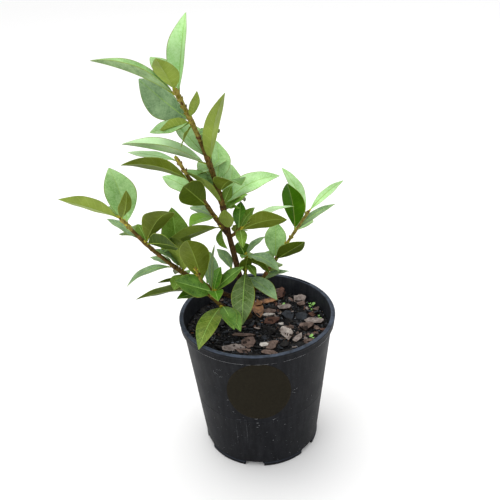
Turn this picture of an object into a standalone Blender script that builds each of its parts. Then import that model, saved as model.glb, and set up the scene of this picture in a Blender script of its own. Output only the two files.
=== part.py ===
# A young potted asian jasmine: one twining shrub in a round black nursery pot.
# Metres, +Z up. The origin is the middle of the pot's flat underside, and the
# side seen in the photograph faces -Y. Bearings are turned from +X towards +Y.

import math
import random

import bmesh
import bpy
from mathutils import Vector
from mathutils.bvhtree import BVHTree

for old in list(bpy.data.objects):
    bpy.data.objects.remove(old, do_unlink=True)

MM = 0.001
CLEAR = 0.0003

# Driving sizes of the pot

POT_HEIGHT = 0.1343
RIM_RADIUS = 0.070
BASE_RADIUS = 0.0535
WALL = 0.0015
FLOOR = 0.0025
LIP_WIDTH = 0.0040
COLLAR_HEIGHT = 0.0080
SHOULDER_STEP = 0.0024
BASE_BAND = 0.0035
POT_SIDES = 96
NOTCHES = 6
NOTCH_WIDTH = 0.0175
NOTCH_HEIGHT = 0.005
NOTCH_DEPTH = 0.008
FRONT_NOTCH_BEARING = -99

# Driving sizes of the potting mix

MIX_LEVEL = 0.118
MIX_SIDES = 48
MIX_RINGS = 9
WALL_GAP = 0.0018
NOTCH_GAP = 0.0015
BUMP = 0.0011
SETTLING = 0.0008
CALM_NEAR = 0.010
CALM_FAR = 0.022

# Driving sizes of the plant

STEM_SIDES = 8
TWIG_SIDES = 6
SPAN = 0.009
JOINT_SWELL = 0.18
ROOT_FLARE = 0.5
LEAF_THICK = 0.0007
EDGE_THICK = 0.0003
STALK_SHARE = 0.08
STALK_WIDTH = 0.0014
ROOT_SINK = 0.0015
USUAL_FOLD = 0.2
BLADE_STATIONS = (0.07, 0.20, 0.40, 0.62, 0.84)
SWINGS = (0, 3, -3, 6, -6, 9, -9, 12, -12, 16, -16, 20, -20)
FAR_SPREAD = 40
SEED = "potted asian jasmine "


# Materials


def material(name, colour, roughness, metallic=0.0):
    made = bpy.data.materials.new(name)
    made.use_nodes = True
    shader = made.node_tree.nodes["Principled BSDF"]
    shader.inputs["Base Color"].default_value = (*colour, 1)
    shader.inputs["Roughness"].default_value = roughness
    shader.inputs["Metallic"].default_value = metallic
    return made


BLACK_PLASTIC = material("black pot plastic", (0.012, 0.013, 0.016), 0.42)
DARK_MIX = material("bark potting mix", (0.030, 0.020, 0.015), 0.95)
BROWN_BARK = material("brown stem bark", (0.110, 0.062, 0.028), 0.75)
GREEN_LEAF = material("leathery green leaf", (0.120, 0.250, 0.050), 0.40)


def add(name, mesh, look, smooth_below=35):
    mesh.materials.append(look)
    mesh.shade_smooth()
    mesh.set_sharp_from_angle(angle=math.radians(smooth_below))
    made = bpy.data.objects.new(name, mesh)
    bpy.context.scene.collection.objects.link(made)
    return made


# Turned bodies: a closed outline of radius and height is swept round the Z axis


def turned(name, outline, sides):
    shape = bmesh.new()
    rings = []
    for radius, height in outline:
        if radius == 0:
            rings.append([shape.verts.new((0, 0, height))])
            continue
        ring = []
        for k in range(sides):
            angle = math.tau * k / sides
            ring.append(shape.verts.new((radius * math.cos(angle), radius * math.sin(angle), height)))
        rings.append(ring)
    for low, high in zip(rings, rings[1:]):
        for k in range(sides):
            n = (k + 1) % sides
            if len(low) == 1:
                shape.faces.new((low[0], high[n], high[k]))
            elif len(high) == 1:
                shape.faces.new((low[k], low[n], high[0]))
            else:
                shape.faces.new((low[k], low[n], high[n], high[k]))
    mesh = bpy.data.meshes.new(name)
    shape.to_mesh(mesh)
    shape.free()
    return mesh


def apply_boolean(target, operation, cutter=None, group=None, solver="EXACT"):
    step = target.modifiers.new("join", "BOOLEAN")
    step.operation = operation
    step.solver = solver
    if group:
        step.operand_type = "COLLECTION"
        step.collection = group
    else:
        step.object = cutter
    result = bpy.data.meshes.new_from_object(target.evaluated_get(bpy.context.evaluated_depsgraph_get()))
    target.modifiers.clear()
    result.name = target.name
    target.data = result


# The pot: a tapered wall with a flat floor, a band at its foot, and a collar under a flat lip


def wall_radius(height):
    # The wall runs straight from the base to the step under the collar
    top = POT_HEIGHT - COLLAR_HEIGHT
    return BASE_RADIUS + (RIM_RADIUS - SHOULDER_STEP - BASE_RADIUS) * height / top


def build_pot():
    collar_foot = POT_HEIGHT - COLLAR_HEIGHT
    shoulder = wall_radius(collar_foot)
    outline = [
        (0, 0),
        (BASE_RADIUS - 0.0008, 0),
        (BASE_RADIUS, 0.0008),
        (wall_radius(BASE_BAND), BASE_BAND),
        (wall_radius(BASE_BAND) - 0.0005, BASE_BAND + 0.0006),
        (shoulder - 0.0005, collar_foot - 0.0008),
        (RIM_RADIUS - 0.0010, collar_foot),
        (RIM_RADIUS - 0.0003, POT_HEIGHT - 0.0010),
        (RIM_RADIUS - 0.0010, POT_HEIGHT),
        (RIM_RADIUS - LIP_WIDTH, POT_HEIGHT),
        (RIM_RADIUS - LIP_WIDTH - 0.0006, POT_HEIGHT - 0.0008),
        (RIM_RADIUS - LIP_WIDTH - 0.0008, collar_foot - 0.0020),
        (wall_radius(collar_foot - 0.006) - WALL - 0.0005, collar_foot - 0.006),
        (wall_radius(FLOOR) - WALL - 0.0010, FLOOR),
        (0, FLOOR),
    ]
    pot = add("pot", turned("pot", outline, POT_SIDES), BLACK_PLASTIC)
    for k in range(NOTCHES):
        bearing = math.radians(FRONT_NOTCH_BEARING) + math.tau * k / NOTCHES
        bpy.ops.mesh.primitive_cube_add(size=1)
        cutter = bpy.context.active_object
        cutter.scale = (2 * NOTCH_DEPTH, NOTCH_WIDTH, 2 * NOTCH_HEIGHT)
        cutter.rotation_euler.z = bearing
        cutter.location = Vector((math.cos(bearing), math.sin(bearing), 0)) * BASE_RADIUS
        bpy.context.view_layer.update()
        apply_boolean(pot, "DIFFERENCE", cutter=cutter)
        bpy.data.objects.remove(cutter, do_unlink=True)
    pot.data.set_sharp_from_angle(angle=math.radians(35))
    return pot


# The potting mix: one plug, clear of the wall, with a low uneven top


def build_mix():
    foot = FLOOR + CLEAR
    bottom = wall_radius(foot) - NOTCH_DEPTH - NOTCH_GAP
    low_wall = NOTCH_HEIGHT + CLEAR
    outline = [(0, foot), (bottom, foot), (bottom, low_wall)]
    outline.append((wall_radius(low_wall) - WALL - WALL_GAP, low_wall))
    edge = wall_radius(MIX_LEVEL) - WALL - WALL_GAP
    for k in range(MIX_RINGS + 1):
        outline.append((edge * (1 - k / MIX_RINGS), MIX_LEVEL))
    mesh = turned("potting_mix", outline, MIX_SIDES)
    for v in mesh.vertices:
        if v.co.z < MIX_LEVEL - CLEAR:
            continue
        # Broad swells crossed by short ripples, and level round the foot of the stem
        away = (v.co.xy - FOOT.xy).length
        calm = min(1, max(0, (away - CALM_NEAR) / (CALM_FAR - CALM_NEAR)))
        bump = math.sin(v.co.x * 310 + 1.3) * math.cos(v.co.y * 270 - 0.4)
        bump += 0.6 * math.sin(v.co.x * 700 - v.co.y * 520)
        v.co.z += calm * (BUMP * bump - SETTLING)
    return add("potting_mix", mesh, DARK_MIX)


# Shoots: each is a slender curve from a start to an end, bowed at its middle.
# Millimetres: start, end, bow, and the radius at each end.

SHOOTS = {
    "main": ((-9, 17, 118.3), (-21, 14, 203), (1, 0, 0), 3.4, 2.4),
    "leader": ((-21, 14, 203), (-55, 0, 338), (5, 4, 0), 2.3, 1.7),
    "upper": ((-21, 14, 203), (-59, 2, 282), (-1, 0, 0), 1.9, 1.4),
    "stub": ((-21, 14, 203), (-11, 9, 213), (1, 0, 0), 1.5, 1.1),
    "left": ((-13, 16, 137), (-108, -9, 236), (-4, -4, -7), 2.2, 1.4),
    "right": ((-11, 17, 132), (49, 28, 217), (0, 3, -2), 2.0, 1.1),
    "front": ((-11, 14, 125), (-50, -17, 192), (-5, -9, -5), 2.0, 1.0),
    "rosette": ((-40, -13, 160), (-36, -18, 167), (0, 0, 0), 1.3, 1.0),
    "centre": ((-14, 16, 145), (-8, 17, 182), (2, 1, 0), 1.6, 1.0),
    "spur": ((-17, 15, 166), (-20, 12, 171), (0, 0, 0), 1.2, 0.9),
}
FOOT = Vector(SHOOTS["main"][0]) * MM


def along(shoot, place):
    start, end, bow = (Vector(v) * MM for v in SHOOTS[shoot][:3])
    return start * (1 - place) + end * place + bow * 4 * place * (1 - place)


def shoot_length(shoot):
    return (along(shoot, 1) - along(shoot, 0)).length


def heading(shoot, place):
    step = 0.01
    return (along(shoot, place + step) - along(shoot, place - step)).normalized()


def thickness(shoot, place):
    first, last = SHOOTS[shoot][3:]
    return (first + (last - first) * place) * MM


def skinned(name, rings):
    # A closed skin over rings of equal count; a last ring of one point closes it to a tip
    shape = bmesh.new()
    rings = [[shape.verts.new(p) for p in ring] for ring in rings]
    for low, high in zip(rings, rings[1:]):
        for k in range(len(low)):
            n = (k + 1) % len(low)
            corners = (low[k], low[n], high[0]) if len(high) == 1 else (low[k], low[n], high[n], high[k])
            shape.faces.new(corners)
    shape.faces.new(rings[0][::-1])
    if len(rings[-1]) > 1:
        shape.faces.new(rings[-1])
    bmesh.ops.recalc_face_normals(shape, faces=shape.faces)
    mesh = bpy.data.meshes.new(name)
    shape.to_mesh(mesh)
    shape.free()
    return mesh


def stem_ring(shoot, place, sides, swell=1.0, level=False):
    ahead = Vector((0, 0, 1)) if level else heading(shoot, place)
    across = ahead.cross(Vector((0, 1, 0))).normalized()
    other = ahead.cross(across)
    radius = thickness(shoot, place) * swell
    middle = along(shoot, place)
    angles = [math.tau * k / sides for k in range(sides)]
    return [middle + (across * math.cos(a) + other * math.sin(a)) * radius for a in angles]


def stem_mesh(name, shoot, first, last, sides, flare=0.0):
    # A tapering stem. It swells a little where a leaf joins it, and its own end is a small bud
    joints = [leaf[0] for leaf in LEAVES.get(shoot, [])]
    spans = max(3, round((last - first) * shoot_length(shoot) / SPAN))
    rings = []
    for k in range(spans + 1):
        place = first + (last - first) * k / spans
        near = min([abs(place - joint) for joint in joints], default=1) * shoot_length(shoot)
        swell = 1 + JOINT_SWELL * max(0, 1 - near / SPAN) + flare * max(0, 1 - k / 2) ** 2
        rings.append(stem_ring(shoot, place, sides, swell, level=flare > 0 and k == 0))
    if last == 1 and shoot != "main":
        rings.append([along(shoot, 1) + heading(shoot, 1) * thickness(shoot, 1) * 2])
    return skinned(name, rings)


def tree_of(*meshes):
    shape = bmesh.new()
    for mesh in meshes:
        shape.from_mesh(mesh)
    tree = BVHTree.FromBMesh(shape)
    shape.free()
    return tree


def first_clear(shoot, start, carriers):
    # The first place on a shoot where its cut end stands clear of the stems that carry it
    tree = tree_of(*carriers)
    place = start
    while True:
        gaps = []
        for corner in stem_ring(shoot, place, STEM_SIDES, 1.05):
            spot, normal, _, gap = tree.find_nearest(corner)
            gaps.append(gap if (corner - spot).dot(normal) > 0 else -gap)
        if min(gaps) > CLEAR:
            return place
        place += 0.0005


# Leaves: place along the shoot, bearing, rise, length, width, turn and bow, then the fold
# where it isn't the usual one. Millimetres and degrees. A leaf's length runs from the stem to
# its tip. Its turn rolls the upper side to the right, seen from the stem. Bow is how far the
# blade arches, and fold how far its halves lift, as shares of its length and of a half's width.

LEAVES = {
    "leader": [
        (0.955, 71, 65, 64, 21, -23, 0.02, 0.58),
        (0.99, -107, 46, 44, 19, 5, 0.02),
        (0.985, 125, 30, 42, 18, 0, 0.10),
        (0.955, 178, 25, 71, 22, 7, 0.05, 0.68),
        (0.80, 152, 33, 55, 29, -90, 0.03, 0.38),
        (0.82, -60, 56, 30, 9, 0, -0.06, 0.1),
        (0.80, -169, -10, 34, 14, -30, 0.00),
        (0.79, -155, -3, 27, 15, 60, 0.03),
        (0.55, 152, 42, 41, 24, -10, 0.03, 0.4),
        (0.47, 150, -28, 21, 13, 0, 0.05),
        (0.78, -119, -34, 23, 9, 60, 0.03),
        (0.50, -49, 69, 70, 19, 5, 0.07),
        (0.38, 89, 33, 45, 22, 44, 0.06, 0.33),
        (0.37, 117, 15, 37, 15, 0, 0.06),
        (0.51, 178, 16, 73, 24, 5, 0.03, 0.67),
        (0.31, -54, 28, 37, 28, -15, 0.20),
        (0.22, 9, 24, 55, 22, 20, 0.15),
        (0.25, 74, 29, 41, 28, 60, 0.08, 0.3),
        (0.22, 26, 61, 19, 10, 40, 0.06),
        (0.18, 35, 20, 27, 14, 0, 0.10),
        (0.21, -171, 49, 50, 19, -2, 0.07, 0.73),
        (0.20, 10, -5, 15, 8, 0, 0.10),
    ],
    "upper": [
        (0.97, 161, 5, 45, 13, -5, 0.02, 0.1),
        (0.72, -168, 21, 59, 20, 50, 0.12),
        (0.50, 146, 17, 44, 22, -10, 0.06),
        (0.40, -120, 44, 45, 24, 60, 0.08),
        (0.27, 137, 2, 31, 16, 0, 0.05),
        (0.27, -138, 3, 28, 20, 0, 0.10),
        (0.14, -166, -15, 57, 19, 60, 0.09),
        (0.24, -36, 12, 19, 16, -90, 0.05, 0.1),
        (0.14, -71, -50, 20, 12, 74, 0.10, 0.6),
    ],
    "stub": [
        (0.45, -60, 75, 10, 7, 0, 0.10),
        (0.70, -27, 22, 50, 20, -65, 0.10),
        (1.00, 9, 18, 50, 10, 0, 0.10),
        (0.90, 26, 48, 23, 16, 0, 0.06),
        (0.80, 80, 50, 26, 12, 0, 0.06),
        (0.90, -83, -22, 21, 10, 0, 0.20),
    ],
    "left": [
        (1.00, -170, 26, 52, 19, 55, 0.03, 0.36),
        (0.94, 121, 58, 51, 27, 0, 0.13),
        (1.00, -58, 58, 37, 12, 0, -0.10),
        (0.98, 145, 24, 21, 12, 0, 0.10),
        (0.80, 150, 21, 41, 12, 0, 0.05),
        (0.79, -38, 47, 51, 25, -32, 0.15),
        (0.79, -36, 9, 36, 24, -60, 0.05),
        (0.78, 125, 45, 20, 14, 0, 0.10),
        (0.74, 10, -45, 30, 14, 0, 0.10),
        (0.55, 150, 8, 26, 11, 0, 0.08),
        (0.55, 180, -22, 47, 11, -10, 0.15),
        (0.25, -170, -1, 67, 21, 50, 0.05),
        (0.30, 175, 3, 43, 9, 60, 0.10),
        (0.47, -125, -29, 18, 16, 0, 0.05),
        (0.50, 101, 54, 57, 26, 0, -0.02, 0.3),
        (0.47, -108, 68, 48, 22, 0, 0.06),
    ],
    "front": [
        (0.78, -112, 68, 57, 25, 24, 0.10, 0.3),
        (0.60, -153, 13, 32, 17, 0, 0.10),
        (0.38, -112, -13, 53, 19, 0, 0.10),
        (0.38, -71, -9, 33, 14, 0, 0.10),
        (0.37, -64, -10, 36, 14, 0, 0.10),
    ],
    "rosette": [
        (0.90, 95, 52, 36, 13, 0, 0.06),
        (1.00, -160, 30, 38, 22, -35, 0.00),
        (1.00, 46, 63, 23, 13, 0, 0.06),
        (1.00, 12, 37, 34, 13, 20, 0.06),
        (1.00, -79, 13, 25, 13, 0, 0.15),
        (0.80, -67, 76, 54, 8, 35, 0.04),
    ],
    "centre": [
        (0.50, -75, 62, 26, 12, 0, 0.06),
        (0.60, -97, -40, 51, 21, 0, 0.10),
        (0.42, -40, -18, 38, 18, 0, 0.10),
        (1.00, -38, -7, 37, 16, 0, 0.15),
        (0.90, -30, -21, 26, 18, -60, 0.10),
        (0.80, -60, -20, 18, 8, 0, 0.10),
        (0.95, 118, 33, 17, 16, 0, 0.10),
        (1.00, -100, 20, 17, 7, 0, 0.10),
        (1.00, 27, 33, 25, 9, 0, 0.10),
    ],
    "spur": [
        (1.00, 139, 42, 24, 12, 0, 0.10),
    ],
    "right": [
        (0.50, 85, 47, 36, 20, 0, 0.05),
        (0.50, -50, 40, 49, 18, -40, 0.00),
        (0.80, -117, 74, 54, 22, 0, 0.08),
        (0.97, 137, 55, 47, 15, 0, 0.08),
        (1.00, 23, 33, 42, 8, 30, 0.10),
        (0.80, 19, 26, 44, 8, 20, 0.10),
        (0.25, 32, 0, 33, 10, 0, 0.10),
    ],
}


# Leaves on the far side: how many each shoot adds by the seeded rule
FAR_LEAVES = {"leader": 6, "left": 4, "right": 3, "centre": 1, "stub": 1}


def far_leaves(shoot):
    # They stand behind the shoot, low enough to hide behind it from the front
    dice = random.Random(SEED + shoot)
    made = []
    for k in range(FAR_LEAVES.get(shoot, 0)):
        place = 0.25 + 0.6 * (k + dice.random()) / FAR_LEAVES[shoot]
        bearing = 90 + FAR_SPREAD * (1 if k % 2 else -1) * dice.uniform(0.2, 1)
        length = dice.uniform(30, 42)
        made.append((place, bearing, dice.uniform(-24, -2), length, 0.46 * length, dice.uniform(-20, 20), 0.1))
    return made


def leaf_axes(bearing, rise, turn):
    b, r, q = math.radians(bearing), math.radians(rise), math.radians(turn)
    ahead = Vector((math.cos(b) * math.cos(r), math.sin(b) * math.cos(r), math.sin(r)))
    up = Vector((-math.cos(b) * math.sin(r), -math.sin(b) * math.sin(r), math.cos(r)))
    right = Vector((math.sin(b), -math.cos(b), 0))
    normal = up * math.cos(q) + right * math.sin(q)
    side = right * math.cos(q) - up * math.sin(q)
    return ahead, side, normal


def half_width(t):
    # A leathery oval with a short point, as a share of the widest half
    return math.sin(math.pi * t) ** 0.75 * (1 - 0.3 * t**5)


def leaf_mesh(shoot, leaf, extra=0.0):
    # One leaf: a flattened stalk rooted on the stem's axis, then a blade folded along its midrib
    place, bearing, rise, length, width, turn, bow = leaf[:7]
    fold = leaf[7] if len(leaf) > 7 else USUAL_FOLD
    ahead, side, normal = leaf_axes(bearing, rise, turn)
    root = along(shoot, min(place, 1 - ROOT_SINK / shoot_length(shoot)))
    length, half = length * MM, width * MM / 2
    stations = [(0, STALK_WIDTH / 2, 0), (STALK_SHARE, STALK_WIDTH / 2, 0)]
    for t in BLADE_STATIONS:
        stations.append((STALK_SHARE + (1 - STALK_SHARE) * t, half * half_width(t), fold))
    rings = []
    for s, reach, lift in stations:
        middle = root + ahead * length * s + normal * bow * length * 4 * s * (1 - s)
        thick = normal * ((LEAF_THICK if lift else STALK_WIDTH) / 2 + extra)
        edge = normal * ((EDGE_THICK if lift else STALK_WIDTH * 0.6) / 2 + extra)
        raised = normal * lift * reach
        left = middle - side * (reach + extra) + raised
        right = middle + side * (reach + extra) + raised
        rings.append([left + edge, left - edge, middle - thick, right - edge, right + edge, middle + thick])
    rings.append([root + ahead * (length + extra)])
    return skinned("leaf", rings)


def settled(shoot, leaf, others):
    # A leaf that meets a solid of another piece is swung a little about its root, or left out
    for swing in SWINGS:
        tried = (leaf[0], leaf[1] + swing, *leaf[2:])
        swollen = tree_of(leaf_mesh(shoot, tried, extra=CLEAR))
        if not any(swollen.overlap(tree) for tree in others):
            return tried
    return None


def whole(mesh):
    # Keeps the outer skin of a joined mass; a sealed hollow is filled and a loose scrap dropped
    shape = bmesh.new()
    shape.from_mesh(mesh)
    shells = []
    loose = set(shape.faces)
    while loose:
        shell, front = set(), {loose.pop()}
        while front:
            shell |= front
            front = {near for face in front for edge in face.edges for near in edge.link_faces} - shell
        loose -= shell
        shells.append(shell)
    shells.sort(key=len)
    for shell in shells[:-1]:
        bmesh.ops.delete(shape, geom=list(shell), context="FACES")
    shape.to_mesh(mesh)
    shape.free()


def fuse(name, pieces):
    # One union joins a mass: its first stem with its other twigs and all its leaves
    group = bpy.data.collections.new(name)
    bpy.context.scene.collection.children.link(group)
    for mesh in pieces[1:]:
        group.objects.link(bpy.data.objects.new("piece", mesh))
    body = add(name, pieces[0], GREEN_LEAF)
    apply_boolean(body, "UNION", group=group)
    whole(body.data)
    for piece in list(group.objects):
        bpy.data.objects.remove(piece, do_unlink=True)
    bpy.data.collections.remove(group)


# Bare limbs: node name, shoot, and the share of the shoot that carries no leaves

LIMBS = [("left_bough", "left", 0.18), ("right_bough", "right", 0.22), ("front_bough", "front", 0.33)]

# Foliage masses: node name, then each shoot that the mass holds and the shares it runs between

MASSES = {
    "foliage_leader": [("leader", 0.0, 0.62)],
    "foliage_top": [("leader", 0.62, 1.0)],
    "foliage_upper_left": [("upper", 0.0, 1.0)],
    "foliage_right_stub": [("stub", 0.0, 1.0)],
    "foliage_left": [("left", 0.18, 1.0)],
    "foliage_front": [("front", 0.33, 1.0), ("rosette", 0.0, 1.0)],
    "foliage_centre": [("centre", 0.0, 1.0)],
    "foliage_spur": [("spur", 0.0, 1.0)],
    "foliage_right": [("right", 0.22, 1.0)],
}


def build_plant(pot, mix):
    main = stem_mesh("main_stem", "main", 0, 1, STEM_SIDES, flare=ROOT_FLARE)
    add("main_stem", main, BROWN_BARK)
    limbs = [main]
    for name, shoot, last in LIMBS:
        first = first_clear(shoot, 0, [main])
        limbs.append(stem_mesh(name, shoot, first, last, STEM_SIDES))
        add(name, limbs[-1], BROWN_BARK)
    pieces = {}
    lowest = {}
    for name, parts in MASSES.items():
        pieces[name] = []
        for shoot, first, last in parts:
            if not pieces[name]:
                carriers = limbs + [mesh for held in pieces.values() for mesh in held]
                first = first_clear(shoot, first, carriers)
            lowest[name, shoot] = first + ROOT_SINK / shoot_length(shoot)
            pieces[name].append(stem_mesh(name, shoot, first, last, TWIG_SIDES))
    trees = {name: [tree_of(*held)] for name, held in pieces.items()}
    fixed = [tree_of(mesh) for mesh in (pot.data, mix.data, *limbs)]
    for name, parts in MASSES.items():
        others = fixed + [tree for other in trees if other != name for tree in trees[other]]
        for shoot, first, last in parts:
            for leaf in LEAVES.get(shoot, []) + far_leaves(shoot):
                if not first <= leaf[0] <= last:
                    continue
                place = max(leaf[0], lowest[name, shoot])
                leaf = settled(shoot, (place, *leaf[1:]), others)
                if leaf is None:
                    print("left out:", name, shoot, round(place, 2))
                    continue
                pieces[name].append(leaf_mesh(shoot, leaf))
                trees[name].append(tree_of(pieces[name][-1]))
    for name, held in pieces.items():
        fuse(name, held)


pot_body = build_pot()
mix_body = build_mix()
build_plant(pot_body, mix_body)
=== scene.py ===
# A young potted asian jasmine: the finish of its leaves, stems, bark mix and black pot.
# Metres, +Z up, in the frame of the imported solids. The photographed side faces -Y, and
# bearings are turned from +X towards +Y.

import math
import random

import bmesh
import bpy
from mathutils import Matrix, Vector, noise


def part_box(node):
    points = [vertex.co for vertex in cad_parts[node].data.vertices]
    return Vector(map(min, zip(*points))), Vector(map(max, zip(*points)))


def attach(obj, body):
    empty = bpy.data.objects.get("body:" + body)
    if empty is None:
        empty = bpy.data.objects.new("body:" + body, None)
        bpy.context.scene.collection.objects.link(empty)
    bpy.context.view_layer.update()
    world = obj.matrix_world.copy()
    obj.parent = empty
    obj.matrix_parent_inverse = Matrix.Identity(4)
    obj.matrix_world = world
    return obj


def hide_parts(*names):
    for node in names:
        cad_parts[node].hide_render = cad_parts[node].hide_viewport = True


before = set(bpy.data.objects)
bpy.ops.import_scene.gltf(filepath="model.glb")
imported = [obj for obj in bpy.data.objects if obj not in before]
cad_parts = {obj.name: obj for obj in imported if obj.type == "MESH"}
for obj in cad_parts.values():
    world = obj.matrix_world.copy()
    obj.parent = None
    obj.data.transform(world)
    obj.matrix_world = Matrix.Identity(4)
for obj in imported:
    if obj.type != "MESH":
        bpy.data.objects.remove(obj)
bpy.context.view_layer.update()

MM = 0.001


# The view
# The photograph looks down on the plant from a little over its top, close by, through a
# lens of about 50 mm on a full frame. The camera stands where its perspective fits.

LENS = 50.4
FULL_FRAME = 36
EYE_PLACE = Vector((0, -0.5321, 0.4748))
EYE_RIGHT = Vector((0.9989, -0.0159, -0.0431))
EYE_UP = Vector((0.0455, 0.4629, 0.8852))
eye = bpy.data.cameras.new("photo_view")
eye.lens = LENS
eye.sensor_width = FULL_FRAME
eye.clip_start = 0.01
camera = bpy.data.objects.new("photo_view", eye)
camera.matrix_world = Matrix((EYE_RIGHT, EYE_UP, EYE_RIGHT.cross(EYE_UP))).transposed().to_4x4()
camera.matrix_world.translation = EYE_PLACE
bpy.context.scene.collection.objects.link(camera)
bpy.context.scene.camera = camera


# The pot
# A thin injection-moulded nursery pot of black plastic: a tapered wall, a collar under a flat
# lip, drain notches cut in its foot, and a slot for a plant tag in the back of the lip.

POT_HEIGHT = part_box("pot")[1][2]
RIM_RADIUS = 70.0 * MM
BASE_RADIUS = 53.5 * MM
WALL = 1.5 * MM
FLOOR = 2.5 * MM
LIP_WIDTH = 4.0 * MM
COLLAR_FOOT = POT_HEIGHT - 8.0 * MM
SHOULDER_STEP = 2.4 * MM
BASE_BAND = 3.5 * MM
SEAM_HEIGHT = 57 * MM
POT_SIDES = 256
NOTCHES = 6
NOTCH_SIZE = (16 * MM, 17.5 * MM, 10 * MM)
NOTCH_ROUNDING = 1.2 * MM
FRONT_NOTCH_BEARING = -99
TAG_SLOT_BEARINGS = (40, 62)
TAG_SLOT_RADII = (66.9 * MM, 68.4 * MM)
TAG_SLOT_DEPTH = 2.2 * MM
SHARP_TURN = 30


def rgb(code):
    # A colour as it looks on a screen, such as "4a3418", as linear red, green and blue
    parts = [int(code[k : k + 2], 16) / 255 for k in (0, 2, 4)]
    return (*[p / 12.92 if p <= 0.04045 else ((p + 0.055) / 1.055) ** 2.4 for p in parts], 1.0)


def material(name, roughness, **settings):
    made = bpy.data.materials.new(name)
    made.use_nodes = True
    shader = made.node_tree.nodes["Principled BSDF"]
    shader.inputs["Roughness"].default_value = roughness
    for socket, value in settings.items():
        shader.inputs[socket.replace("_", " ")].default_value = value
    return made, made.node_tree, shader


def node(tree, kind, **values):
    made = tree.nodes.new(kind)
    for name, value in values.items():
        if name in made.inputs:
            made.inputs[name].default_value = value
        elif name.replace("_", " ") in made.inputs:
            made.inputs[name.replace("_", " ")].default_value = value
        else:
            setattr(made, name, value)
    return made


def group(name, inputs, outputs):
    # A node group with named sockets; returns its tree and its two end nodes
    tree = bpy.data.node_groups.new(name, "ShaderNodeTree")
    kinds = {"colour": "NodeSocketColor", "value": "NodeSocketFloat"}
    for socket, kind in inputs.items():
        tree.interface.new_socket(socket, in_out="INPUT", socket_type=kinds[kind])
    for socket, kind in outputs.items():
        tree.interface.new_socket(socket, in_out="OUTPUT", socket_type=kinds[kind])
    return tree, tree.nodes.new("NodeGroupInput"), tree.nodes.new("NodeGroupOutput")


def placed(tree, shared, **values):
    made = tree.nodes.new("ShaderNodeGroup")
    made.node_tree = shared
    for name, value in values.items():
        made.inputs[name.replace("_", " ")].default_value = value
    return made


def colour_mix(tree, factor, first, second):
    # Each of the three is a socket, or a plain value
    made = node(tree, "ShaderNodeMix", data_type="RGBA")
    for socket, value in ((0, factor), (6, first), (7, second)):
        if isinstance(value, bpy.types.NodeSocket):
            tree.links.new(value, made.inputs[socket])
        else:
            made.inputs[socket].default_value = value
    return made.outputs[2]


def ranged(tree, value, low, high, to_low=0.0, to_high=1.0):
    made = node(tree, "ShaderNodeMapRange", From_Min=low, From_Max=high, To_Min=to_low, To_Max=to_high)
    tree.links.new(value, made.inputs["Value"])
    return made.outputs["Result"]


def bumped(tree, shader, height, strength, distance):
    made = node(tree, "ShaderNodeBump", Strength=strength, Distance=distance)
    tree.links.new(height, made.inputs["Height"])
    tree.links.new(made.outputs["Normal"], shader.inputs["Normal"])


# Shared effect: two tones that drift into each other, with the drift as a value too
mottle, ends_in, ends_out = group(
    "mottle",
    {"First": "colour", "Second": "colour", "Scale": "value", "Contrast": "value"},
    {"Colour": "colour", "Drift": "value"},
)
place = mottle.nodes.new("ShaderNodeTexCoord")
drift = node(mottle, "ShaderNodeTexNoise", Detail=5, Roughness=0.62)
mottle.links.new(place.outputs["Object"], drift.inputs["Vector"])
mottle.links.new(ends_in.outputs["Scale"], drift.inputs["Scale"])
spread = node(mottle, "ShaderNodeMath", operation="MULTIPLY_ADD")
centred = node(mottle, "ShaderNodeMath", operation="SUBTRACT")
centred.inputs[1].default_value = 0.5
mottle.links.new(drift.outputs["Fac"], centred.inputs[0])
mottle.links.new(centred.outputs[0], spread.inputs[0])
mottle.links.new(ends_in.outputs["Contrast"], spread.inputs[1])
spread.inputs[2].default_value = 0.5
spread.use_clamp = True
tones = colour_mix(mottle, spread.outputs[0], ends_in.outputs["First"], ends_in.outputs["Second"])
mottle.links.new(tones, ends_out.inputs["Colour"])
mottle.links.new(spread.outputs[0], ends_out.inputs["Drift"])


def two_toned(tree, shader, dark, light, scale, contrast):
    tones = placed(tree, mottle, First=rgb(dark), Second=rgb(light), Scale=scale, Contrast=contrast)
    tree.links.new(tones.outputs["Colour"], shader.inputs["Base Color"])


# Shared effect: pale dust settled in patches on what faces up, with painted sky sheen on those up-facing
# faces too
dust, ends_in, ends_out = group(
    "settled dust and painted sky sheen",
    {"Colour": "colour", "Dust": "colour", "Amount": "value", "Scale": "value"},
    {"Colour": "colour", "Mask": "value"},
)
facing = dust.nodes.new("ShaderNodeNewGeometry")
split = dust.nodes.new("ShaderNodeSeparateXYZ")
dust.links.new(facing.outputs["Normal"], split.inputs["Vector"])
up_facing = ranged(dust, split.outputs["Z"], 0.1, 0.95)
patches = node(dust, "ShaderNodeTexNoise", Detail=6, Roughness=0.7)
dust.links.new(facing.outputs["Position"], patches.inputs["Vector"])
dust.links.new(ends_in.outputs["Scale"], patches.inputs["Scale"])
patchy = ranged(dust, patches.outputs["Fac"], 0.35, 0.7, 0.25, 1.0)
lying = node(dust, "ShaderNodeMath", operation="MULTIPLY")
dust.links.new(up_facing, lying.inputs[0])
dust.links.new(patchy, lying.inputs[1])
shown = node(dust, "ShaderNodeMath", operation="MULTIPLY", use_clamp=True)
dust.links.new(lying.outputs[0], shown.inputs[0])
dust.links.new(ends_in.outputs["Amount"], shown.inputs[1])
dusted_and_sheened = colour_mix(dust, shown.outputs[0], ends_in.outputs["Colour"], ends_in.outputs["Dust"])
dust.links.new(dusted_and_sheened, ends_out.inputs["Colour"])
dust.links.new(shown.outputs[0], ends_out.inputs["Mask"])

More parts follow.
